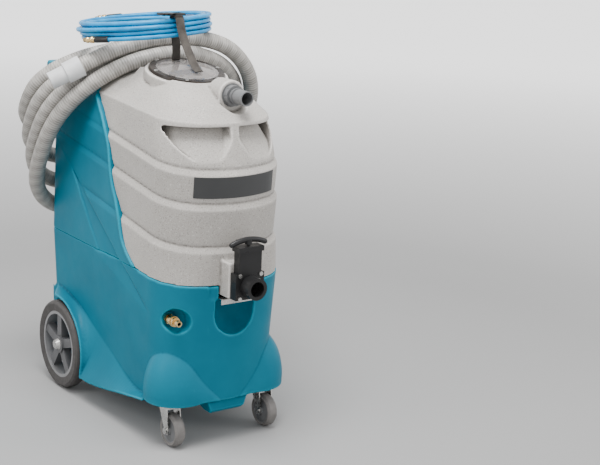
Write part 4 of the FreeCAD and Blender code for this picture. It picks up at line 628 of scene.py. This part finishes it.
finishes = {
    "turquoise_shell": moldedTeal(),
    "grey_tank": speckledGrey(),
    "badge_plate": mouldedPlastic("plainPlate", (0.026, 0.027, 0.028), 0.38, 0.04, grainScale=900.0),
    "black_plastic": mouldedPlastic("blackNylon", (0.012, 0.012, 0.0125), 0.32, gloss=0.3),
    "dark_plastic": mouldedPlastic("slateNylon", (0.12, 0.122, 0.125), 0.42),
    "white_plastic": mouldedPlastic("whiteNylon", (0.72, 0.72, 0.70), 0.40),
    "white_tube": mouldedPlastic("milkTube", (0.72, 0.72, 0.68), 0.30),
    "clear_plastic": clearDome(),
    "rubber": tyreRubber("gasketRubber", (0.03, 0.03, 0.03)),
    "grey_rubber": tyreRubber("wheelRubber", (0.050, 0.046, 0.044)),
    "caster_rubber": tyreRubber("casterRubber", (0.165, 0.155, 0.148)),
    "bright_steel": platedSteel(),
    "aluminium": platedSteel("castAlloy", (0.60, 0.60, 0.60), 0.42),
    "brass": machinedBrass(),
    "black_paint": mouldedPlastic("motorPaint", (0.025, 0.025, 0.027), 0.36),
    "grey_hose": ribbedVinyl(),
    "cuff_grey": mouldedPlastic("softCuff", (0.56, 0.565, 0.57), 0.48),
    "blue_hose": blueVinyl(),
    "webbing": wovenNylon(),
}
nodeFinishes = {                        # nodes whose look differs from the rest of their slot
    "lid_ring": rimRing(),
    "left_hub": wheelWeb(),
}
nodeFinishes["right_hub"] = nodeFinishes["left_hub"]
print("finishes made:", len(finishes))


def finishCadNodes():
    for part in frame["record"]["subparts"]:
        node = nodes[part["node"]]
        for slot in node.material_slots:
            slot.link = "OBJECT"
            slot.material = nodeFinishes.get(part["node"], finishes[part["material_slot"]])


# Moulded shells: the CAD walls with the soft edges that rotational moulding leaves

shellLook = {
    "grid": 0.003,
    "softness": 0.5,
    "base_housing": {"passes": 4, "keep": 0.36, "slot": "turquoise_shell", "body": "base"},
    "recovery_tank": {"passes": 5, "keep": 0.45, "slot": "grey_tank", "body": "tanks"},
    "solution_tank": {"passes": 4, "keep": 0.66, "slot": "turquoise_shell", "body": "tanks"},
}

probe = {"side": 0.4, "front": -0.45}   # where the rays that look for the skin start, clear of the machine


def sideHit(tree, side, y, z):
    return tree.ray_cast(Vector((side * probe["side"], y, z)), Vector((-side, 0, 0)))[0]


def frontHit(tree, x, z):
    return tree.ray_cast(Vector((x, probe["front"], z)), Vector((0, 1, 0)))[0]


edgeBead = {
    "line": [(-148, 441), (-120, 455), (-97, 470), (-74, 490), (-57, 510), (-46, 535), (-39, 560),
             (-28, 584), (-14, 608), (0, 632), (11, 656), (20, 690), (27, 722), (34, 750), (44, 772),
             (56, 792), (76, 816), (100, 842), (122, 868)],    # y and z in mm, up the split between the tanks
    "behind": 0.004,                    # how far the bead's middle lies behind the split
    "depth": 0.0012,                    # and below the side of the tank
    "radius": 0.0052,
    "step": 0.004,
    "sides": 12,
}


def beadPoints(tree, side):
    look = edgeBead
    found = [sideHit(tree, side, y / 1000 + look["behind"], z / 1000) for y, z in look["line"]]
    hits = [hit for hit in found if hit]
    points = []
    for index, hit in enumerate(hits):
        near = hits[max(0, index - 1):index + 2]
        reach = max(abs(other.x) for other in near)    # the widest near it, so the bead bridges the grooves
        points.append(Vector((side * (reach - look["depth"]), hit.y, hit.z)))
    return points


def edgeBeads(mesh):
    look = edgeBead
    work = bmesh.new()
    work.from_mesh(mesh)
    tree = BVHTree.FromBMesh(work)
    for side in (-1, 1):
        path = evenPoints(beadPoints(tree, side), look["step"])[0]
        bead = tubeAlong("bead", path, look["radius"], look["sides"])
        work.from_mesh(bead.data)
        bpy.data.objects.remove(bead)
    work.to_mesh(mesh)
    work.free()


def addBlock(work, low, high):
    corners = bmesh.ops.create_cube(work, size=1.0)["verts"]
    low, high = Vector(low), Vector(high)
    place = Matrix.Translation((low + high) / 2) @ Matrix.Diagonal((*(high - low), 1))
    bmesh.ops.transform(work, matrix=place, verts=corners)


def trimmed(work, planes, closed=True):
    for place, normal in planes:
        cut = bmesh.ops.bisect_plane(work, geom=work.verts[:] + work.edges[:] + work.faces[:], plane_co=place,
                                     plane_no=normal, clear_outer=True)
        if closed:
            rim = [item for item in cut["geom_cut"] if isinstance(item, bmesh.types.BMEdge)]
            bmesh.ops.contextual_create(work, geom=rim)


def hullOf(points):
    hull = bmesh.new()
    for point in points:
        hull.verts.new(point)
    made = bmesh.ops.convex_hull(hull, input=hull.verts)
    inner = [item for item in made["geom_interior"] if isinstance(item, bmesh.types.BMVert)]
    bmesh.ops.delete(hull, geom=inner, context="VERTS")
    bmesh.ops.recalc_face_normals(hull, faces=hull.faces)
    return hull


def noseSlab(work, low, high, back):
    band = work.copy()
    planes = [((0, 0, low), (0, 0, -1)), ((0, 0, high), (0, 0, 1)), ((0, back, 0), (0, 1, 0))]
    trimmed(band, planes, closed=False)
    slab = hullOf([vertex.co.copy() for vertex in band.verts])
    band.free()
    return slab


def joinInto(work, other):
    mesh = bpy.data.meshes.new("filler")
    other.to_mesh(mesh)
    other.free()
    work.from_mesh(mesh)
    bpy.data.meshes.remove(mesh)


valveSeat = {
    "halfWidth": 0.046,                 # of the boss behind the dump valve
    "cadHalfWidth": 0.062,
    "wallFrom": 0.034,
    "front": (-0.370, -0.285),
    "height": (0.405, 0.507),
    "margins": (0.003, 0.001),          # of the band across that is pulled in, at its inner and outer end
}

handScoop = {
    "low": 0.742,
    "high": 0.8375,
    "back": -0.235,
    "tip": (0.166, 0.830),              # distance from the middle and height where the scoop runs out
    "foot": (0.062, 0.736),
    "deep": (0.015, 0.842, 0.046),      # beside the middle rib, and how far behind the skin
    "ribHalf": 0.013,
}


def scoopFloors(work):
    look = handScoop
    tree = BVHTree.FromBMesh(work)
    slab = noseSlab(work, look["low"], look["high"], look["back"])
    for side in (-1, 1):
        tip, foot = (frontHit(tree, side * x, z) for x, z in (look["tip"], look["foot"]))
        x, z, depth = look["deep"]
        deep = frontHit(tree, 0, z) + Vector((side * x, depth, 0))
        normal = (foot - tip).cross(deep - tip).normalized()
        if normal.y > 0:
            normal = -normal
        floor = slab.copy()
        trimmed(floor, [(tip, normal), (Vector((side * look["ribHalf"], 0, 0)), (-side, 0, 0))])
        joinInto(work, floor)
    slab.free()


def shapeRecovery(mesh):
    look = valveSeat
    (front, back), (bottom, top) = look["front"], look["height"]
    work = bmesh.new()
    work.from_mesh(mesh)
    scoopFloors(work)
    for vertex in work.verts:
        x, y, z = vertex.co
        onWall = look["wallFrom"] + look["margins"][0] < abs(x) < look["cadHalfWidth"] + look["margins"][1]
        if onWall and front < y < back and bottom < z < top:
            vertex.co.x -= math.copysign(look["cadHalfWidth"] - look["halfWidth"], x)
    work.to_mesh(mesh)
    work.free()


notchCheeks = {
    "outer": 0.080,
    "inner": 0.050,
    "back": -0.284,
    "height": (0.400, 0.4365),
    "inset": 0.0015,
    "lead": 0.0065,                     # how much further forward the inner edge is
    "skinFrom": (0.084, 0.4305),        # where the skin beside the cheek is measured
}


wheelFlare = {
    "lip": [(312, 262, 206), (304, 263, 213), (285, 265, 214), (262, 264, 214), (240, 261, 214),
            (218, 253, 214), (196, 241, 214), (175, 224, 214), (158, 204, 214), (145, 180, 214),
            (137, 154, 214), (135, 127, 214), (138, 100, 214), (147, 74, 213), (151, 65, 213), (146, 64, 213),
            (120, 63, 212), (70, 66, 210), (0, 76, 206), (-80, 91, 203), (-150, 103, 201),
            (-196, 110, 199)],          # y, z and distance from the middle in mm
    "fold": [(352, 285), (325, 282), (292, 277), (258, 270), (223, 263), (190, 252), (160, 240), (122, 221),
             (80, 202), (40, 184), (14, 172), (-12, 159), (-45, 142), (-100, 119), (-150, 112),
             (-200, 117)],              # y and z in mm where the flare leaves the side wall
    "sections": 56,
    "guideStep": 0.01,
    "band": 0.006,                      # height of the lip's own edge
    "bandSlope": 0.0005,
    "nearArch": 0.1415,                 # lip points nearer to the axle than this are on the arch
    "root": 0.174,                      # inner side of the flare
    "wall": 0.182,                      # where the side wall is if a ray misses it,
    "wallFrom": 0.15,                   # or hits something further in than this
    "sunk": 0.001,
}


def guideLine(points):
    length = evenPoints(points, wheelFlare["guideStep"])[1]
    return evenPoints(points, length / wheelFlare["sections"])[0]


def flareSection(tree, side, lip, fold):
    look = wheelFlare
    wall = sideHit(tree, side, fold.y, fold.z)
    inner = look["wall"] if wall is None or abs(wall.x) < look["wallFrom"] else abs(wall.x) - look["sunk"]
    away = Vector((0, lip.y - wheelLook["axle"][0], lip.z - wheelLook["axle"][1]))
    up = away.normalized() if away.length < look["nearArch"] else Vector((0, 0, 1))
    band = up * look["band"]
    return [Vector((side * inner, fold.y, fold.z)),
            Vector((side * lip.x, lip.y + band.y, lip.z + band.z)),
            Vector((side * (lip.x - look["bandSlope"]), lip.y, lip.z)),
            Vector((side * look["root"], lip.y, lip.z))]


def addWheelFlares(work, tree):
    lips = guideLine([Vector((reach, y, z)) / 1000 for y, z, reach in wheelFlare["lip"]])
    folds = guideLine([Vector((0, y, z)) / 1000 for y, z in wheelFlare["fold"]])
    for side in (-1, 1):
        sections = [flareSection(tree, side, lip, fold) for lip, fold in zip(lips, folds)]
        for first, second in zip(sections, sections[1:]):
            joinInto(work, hullOf(first + second))


footLobe = {
    "low": (0.034, 0.121),              # inner end of the lobe: distance from the middle, and height
    "high": (0.142, 0.243),             # where its edge meets the crown of the dome
    "shares": (0, 0.25, 0.5, 0.75, 1),  # points along each edge
    "sunk": 0.0015,                     # how far the upper edge lies in the skin
    "proud": 0.010,                     # and how far the lower edge stands before it at most,
    "fullness": (0.4, 3),               # the share it has of that at its inner end, and how fast it fills
    "outer": 0.120,
    "back": -0.262,
    "dome": (0.119, -0.232, 0.084),     # middle and radius of the dome
    "domeHeight": (0.140, 0.274),
    "domeDetail": 4,
}


def addFootLobes(work, tree):
    look = footLobe
    (lowX, lowZ), (highX, highZ) = look["low"], look["high"]
    domeX, domeY, radius = look["dome"]
    shoulder, crown = look["domeHeight"]
    for side in (-1, 1):
        points = []
        for share in look["shares"]:
            x, z = lowX + (highX - lowX) * share, lowZ + (highZ - lowZ) * share
            points.append(Vector((side * x, frontHit(tree, side * x, z).y + look["sunk"], z)))
            x = lowX + (look["outer"] - lowX) * share
            proud = look["proud"] * (1 - share) * min(1, share * look["fullness"][1] + look["fullness"][0])
            points.append(Vector((side * x, frontHit(tree, side * x, lowZ).y - proud, lowZ)))
        points += [Vector((point.x, look["back"], point.z)) for point in points]
        cap = bmesh.new()
        bmesh.ops.create_icosphere(cap, subdivisions=look["domeDetail"], radius=radius)
        for vertex in cap.verts:
            if vertex.co.z > -0.001:
                rise = vertex.co.z * (crown - shoulder) / radius
                points.append(Vector((side * domeX + vertex.co.x, domeY + vertex.co.y, shoulder + rise)))
        cap.free()
        joinInto(work, hullOf(points))


def shapeBase(mesh):
    look = notchCheeks
    work = bmesh.new()
    work.from_mesh(mesh)
    tree = BVHTree.FromBMesh(work)
    addWheelFlares(work, tree)
    addFootLobes(work, tree)
    low, high = look["height"]
    for side in (-1, 1):
        front = frontHit(tree, side * look["skinFrom"][0], look["skinFrom"][1]).y + look["inset"]
        inner, outer = side * look["inner"], side * look["outer"]
        cheek = bmesh.new()
        addBlock(cheek, (min(inner, outer), front, low), (max(inner, outer), look["back"], high))
        for vertex in cheek.verts:
            if abs(abs(vertex.co.x) - look["inner"]) < 0.001 and vertex.co.y < look["back"] - 0.01:
                vertex.co.y -= look["lead"]
        joinInto(work, cheek)
    work.to_mesh(mesh)
    work.free()


def mergedCopy(nodeName):
    mesh = nodes[nodeName].data.copy()
    work = bmesh.new()
    work.from_mesh(mesh)
    bmesh.ops.remove_doubles(work, verts=work.verts, dist=1e-6)
    work.to_mesh(mesh)
    work.free()
    return mesh


def applied(piece):
    graph = bpy.context.evaluated_depsgraph_get()
    mesh = bpy.data.meshes.new_from_object(piece.evaluated_get(graph))
    piece.modifiers.clear()
    piece.data = mesh
    return mesh


def makeSoftShell(nodeName, pieceName, additions):
    look = shellLook[nodeName]
    mesh = mergedCopy(nodeName)
    additions(mesh)
    shell = bpy.data.objects.new(pieceName, mesh)
    bpy.context.scene.collection.objects.link(shell)
    grid = shell.modifiers.new("grid", "REMESH")
    grid.mode = "VOXEL"
    grid.voxel_size = shellLook["grid"]
    soften = shell.modifiers.new("soften", "SMOOTH")
    soften.factor = shellLook["softness"]
    soften.iterations = look["passes"]
    fewer = shell.modifiers.new("fewer", "DECIMATE")
    fewer.ratio = look["keep"]
    mesh = applied(shell)
    for face in mesh.polygons:
        face.use_smooth = True
    mesh.materials.clear()
    mesh.materials.append(finishes[look["slot"]])
    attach(shell, look["body"])
    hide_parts(nodeName)
    print(pieceName + ":", len(mesh.polygons), "faces")


# Vacuum hose: a ribbed tube on one smooth line, hung over the tanks in tilted loops

vacuumHose = {
    "crest": (0.038, 0.070, 0.977),     # middle of the first loop over the tank top
    "crestStep": (0, 0.056, 0),
    "low": (0.038, 0.435, 0.512),       # middle of the first loop behind the rear wall
    "lowStep": (0, 0.020, 0.074),
    "halfWidth": 0.298,
    "halfWidthStep": -0.003,
    "firstTurn": 3.25,
    "lastTurn": -0.75,
    "pointsPerTurn": 24,
    "rearPower": 3.1,                   # 2 is an ellipse, more is squarer
    "radius": 0.0225,
    "ribDepth": 0.0016,
    "ribPitch": 0.0045,
    "sides": 16,
    "freeEnd": [(0.3382, 0.146, 0.8194), (0.318, 0.119, 0.890), (0.277, 0.106, 0.947), (0.216, 0.095, 0.991),
                (0.142, 0.090, 1.012), (0.063, 0.089, 1.020), (-0.023, 0.092, 1.017), (-0.102, 0.108, 0.995),
                (-0.163, 0.126, 0.968), (-0.206, 0.140, 0.945)],
}


def loopPoint(look, turn, phase):
    crest = Vector(look["crest"]) + Vector(look["crestStep"]) * turn
    low = Vector(look["low"]) + Vector(look["lowStep"]) * turn
    center, reach = (crest + low) / 2, (crest - low) / 2
    width = look["halfWidth"] + look["halfWidthStep"] * turn
    across, forward = math.cos(phase), math.sin(phase)
    if forward < 0:
        power = 2 / look["rearPower"]
        across = math.copysign(abs(across) ** power, across)
        forward = -abs(forward) ** power
    swell = 1 + (math.pi / look["pointsPerTurn"]) ** 2 / 2    # the line cuts the corners by this much
    return center + Vector((width * across, 0, 0)) * swell + reach * forward * swell


def makeVacuumHose():
    look = vacuumHose
    count = round((look["firstTurn"] - look["lastTurn"]) * look["pointsPerTurn"])
    points = []
    for index in range(count + 1):
        turn = look["firstTurn"] - index / look["pointsPerTurn"]
        points.append(loopPoint(look, turn, 2 * math.pi * index / look["pointsPerTurn"]))
    start = points[0] - (points[1] - points[0]).normalized() * 2 * look["radius"]
    points = [start] + points + [Vector(point) for point in look["freeEnd"]]
    path, length = evenPoints(points, look["ribPitch"] / 2)
    valley = 1 - look["ribDepth"] / look["radius"]
    radii = [1.0 if index % 2 == 0 else valley for index in range(len(path))]
    hose = tubeAlong("vacuumHose", path, look["radius"], look["sides"], radii)
    # The rib value is 1 on the crests and 0 in the valleys, where the hose finish paints shade
    ribs = hose.data.attributes.new("rib", "FLOAT", "POINT")
    ribs.data.foreach_set("value", [1.0 if (index // look["sides"]) % 2 == 0 else 0.0
                                    for index in range(len(hose.data.vertices))])
    hose.data.materials.append(finishes["grey_hose"])
    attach(hose, "tanks")
    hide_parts("vacuum_hose_coil", "vacuum_hose_end")
    print("vacuum hose:", round(length, 3), "m,", len(hose.data.polygons), "faces")


# Solution hose: a blue coil of four layers tied by the strap

solutionHose = {
    "center": (-0.012, 0.150, 1.0455),
    "leanY": -4.2,
    "leanX": -4.0,
    "outerRadius": 0.180,
    "layers": 4,
    "layerPitch": 0.0127,
    "turnPitch": 0.0144,
    "layerTurns": 1.5,
    "startAngle": 200.0,
    "pointsPerTurn": 20,
    "radius": 0.006,
    "step": 0.006,
    "sides": 12,
}


def solutionCoilPoints(look):
    lean = (Matrix.Rotation(math.radians(look["leanY"]), 3, "Y")
            @ Matrix.Rotation(math.radians(look["leanX"]), 3, "X"))
    perTurn = look["pointsPerTurn"]
    spiral, climb = round(look["layerTurns"] * perTurn), perTurn // 2
    swell = 1 + (math.pi / perTurn) ** 2 / 2
    height = -look["layerPitch"] * (look["layers"] - 1) / 2
    radius, step, points = look["outerRadius"], 0, []
    for layer in range(look["layers"]):
        inward = -1 if layer % 2 == 0 else 1
        last = layer == look["layers"] - 1
        for index in range(spiral + (perTurn // 4 if last else climb)):
            angle = math.radians(look["startAngle"]) + 2 * math.pi * step / perTurn
            spoke = Vector((math.cos(angle), math.sin(angle), 0)) * radius * swell
            points.append(Vector(look["center"]) + lean @ (spoke + Vector((0, 0, height))))
            step += 1
            if index < spiral:
                radius += inward * look["turnPitch"] / perTurn
            elif not last:
                height += look["layerPitch"] / climb
    return points


fittingLook = {                         # radius and distance past the hose's end, along each profile
    "sleeve": [(0.0062, -0.030), (0.0078, -0.030), (0.0084, -0.027), (0.0084, 0.010), (0.0078, 0.012)],
    "brass": [(0.0055, 0.010), (0.0055, 0.016), (0.0088, 0.016), (0.0088, 0.026), (0.0066, 0.027),
              (0.0066, 0.031), (0.0082, 0.032), (0.0082, 0.038), (0.0058, 0.039), (0.0058, 0.047),
              (0.0040, 0.047), (0.0040, 0.020)],
    "segments": 24,
}


def latheAlong(name, profile, place, heading, segments):
    work = bmesh.new()
    ring = [work.verts.new((radius, 0, distance)) for radius, distance in profile]
    edges = [work.edges.new(pair) for pair in zip(ring, ring[1:])]
    bmesh.ops.spin(work, geom=ring + edges, cent=(0, 0, 0), axis=(0, 0, 1), angle=2 * math.pi, steps=segments,
                   use_merge=True)
    bmesh.ops.remove_doubles(work, verts=work.verts, dist=1e-6)
    bmesh.ops.recalc_face_normals(work, faces=work.faces)
    turn = Vector(heading).to_track_quat("Z", "Y").to_matrix().to_4x4()
    bmesh.ops.transform(work, matrix=Matrix.Translation(place) @ turn, verts=work.verts)
    return meshPiece(name, work)


def hoseFitting(name, place, heading):
    look = fittingLook
    sleeve = latheAlong(name + "Sleeve", look["sleeve"], place, heading, look["segments"])
    sleeve.data.materials.append(finishes["black_plastic"])
    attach(sleeve, "tanks")
    brass = latheAlong(name, look["brass"], place, heading, look["segments"])
    brass.data.materials.append(finishes["brass"])
    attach(brass, "tanks")
    return brass


def makeSolutionHose():
    look = solutionHose
    path, length = evenPoints(solutionCoilPoints(look), look["step"])
    hose = tubeAlong("solutionHose", path, look["radius"], look["sides"])
    hose.data.materials.append(finishes["blue_hose"])
    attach(hose, "tanks")
    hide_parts("solution_hose_coil")
    first = hoseFitting("solutionHoseNearFitting", path[0], path[0] - path[1])
    last = hoseFitting("solutionHoseFarFitting", path[-1], path[-1] - path[-2])
    print("solution hose:", round(length, 3), "m,", len(hose.data.polygons), "faces")


# Strap round the coil, with its buckle on top

strap = {
    "route": [(0.006, -0.113, 0.9525), (0.004, -0.101, 0.9570), (0.001, -0.082, 0.9800),
              (-0.004, -0.060, 1.0140), (-0.009, -0.046, 1.0450), (-0.012, -0.041, 1.0720),
              (-0.013, -0.038, 1.0890), (-0.012, -0.020, 1.0905), (-0.009, -0.001, 1.0880),
              (-0.006, 0.0035, 1.0740), (-0.001, 0.0040, 1.0400), (0.003, 0.0035, 1.0050),
              (0.004, 0.0040, 0.9850), (0.004, 0.0060, 0.9690)],
    "width": 0.025,
    "thickness": 0.0018,
    "crown": 0.0007,                    # how much higher the middle is than the edges
    "step": 0.004,
    "threads": 8,
}


def makeStrap():
    look = strap
    path, length = evenPoints(look["route"], look["step"])
    rows, across = len(path) - 1, look["threads"]
    work = bmesh.new()
    uvLayer = work.loops.layers.uv.new("weave")
    bmesh.ops.create_grid(work, x_segments=across, y_segments=rows, size=0.5)
    places = {}
    for vertex in work.verts:
        share, row = vertex.co.x, round((vertex.co.y + 0.5) * rows)
        ahead = (path[min(row + 1, rows)] - path[max(row - 1, 0)]).normalized()
        side = (Vector((1, 0, 0)) - ahead * ahead.x).normalized()
        crown = side.cross(ahead) * look["crown"] * (1 - (2 * share) ** 4)
        places[vertex] = (share * look["width"], length * row / rows)
        vertex.co = path[row] + side * share * look["width"] + crown
    for face in work.faces:
        for loop in face.loops:
            loop[uvLayer].uv = places[loop.vert]
    bmesh.ops.solidify(work, geom=work.faces[:], thickness=look["thickness"])
    bmesh.ops.recalc_face_normals(work, faces=work.faces)
    webbing = meshPiece("webbingStrap", work)
    webbing.data.materials.append(finishes["webbing"])
    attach(webbing, "tanks")
    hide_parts("strap")
    print("strap:", round(length, 3), "m")


buckle = {
    "low": (-0.062, -0.041, 1.0895),
    "high": (0.004, -0.004, 1.0960),
    "slots": [(-0.054, 0.006), (-0.040, 0.006), (-0.012, 0.026)],    # middle and length of each opening
    "slotWidth": 0.027,
    "railBelow": 0.0004,                # how far the rails stay under the crossbars' tops,
    "railAbove": 0.0006,                # and over their undersides
    "edge": 0.0022,
}


def makeBuckle():
    look = buckle
    low, high = Vector(look["low"]), Vector(look["high"])
    middleY = (low.y + high.y) / 2
    stops = [low.x] + [x + half for x, size in look["slots"] for half in (-size / 2, size / 2)] + [high.x]
    work = bmesh.new()
    for start, end in zip(stops[::2], stops[1::2]):
        addBlock(work, (start, low.y, low.z), (end, high.y, high.z))
    for side in (-1, 1):
        edge = middleY + side * look["slotWidth"] / 2
        rail = sorted((edge, high.y if side > 0 else low.y))
        addBlock(work, (low.x, rail[0], low.z + look["railAbove"]),
                 (high.x, rail[1], high.z - look["railBelow"]))
    bmesh.ops.bevel(work, geom=work.edges[:], offset=look["edge"] / 2, affect="EDGES", segments=2,
                    profile=0.5, material=-1)
    piece = meshPiece("ladderBuckle", work)
    piece.data.materials.append(finishes["black_plastic"])
    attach(piece, "tanks")
    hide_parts("strap_buckle")


# Strike plate under the dump valve, pulled in to the width of the notch

strikePlate = {
    "inner": 0.02,                      # nearer to the middle than this nothing moves
    "shift": 0.015,
}


def pullIn(nodeName, pieceName):
    look = strikePlate
    mesh = mergedCopy(nodeName)
    for vertex in mesh.vertices:
        if abs(vertex.co.x) > look["inner"]:
            vertex.co.x -= math.copysign(look["shift"], vertex.co.x)
    piece = bpy.data.objects.new(pieceName, mesh)
    bpy.context.scene.collection.objects.link(piece)
    slot = next(part["material_slot"] for part in frame["record"]["subparts"] if part["node"] == nodeName)
    mesh.materials.clear()
    mesh.materials.append(finishes[slot])
    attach(piece, "base")
    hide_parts(nodeName)


addCamera()
addFloor()
addLights()
finishCadNodes()
makeVacuumHose()
makeSolutionHose()
makeStrap()
makeBuckle()
pullIn("strike_plate", "strikePlate")
pullIn("strike_screws", "strikeScrews")
makeSoftShell("base_housing", "baseShell", shapeBase)
makeSoftShell("recovery_tank", "recoveryShell", shapeRecovery)
makeSoftShell("solution_tank", "solutionShell", edgeBeads)
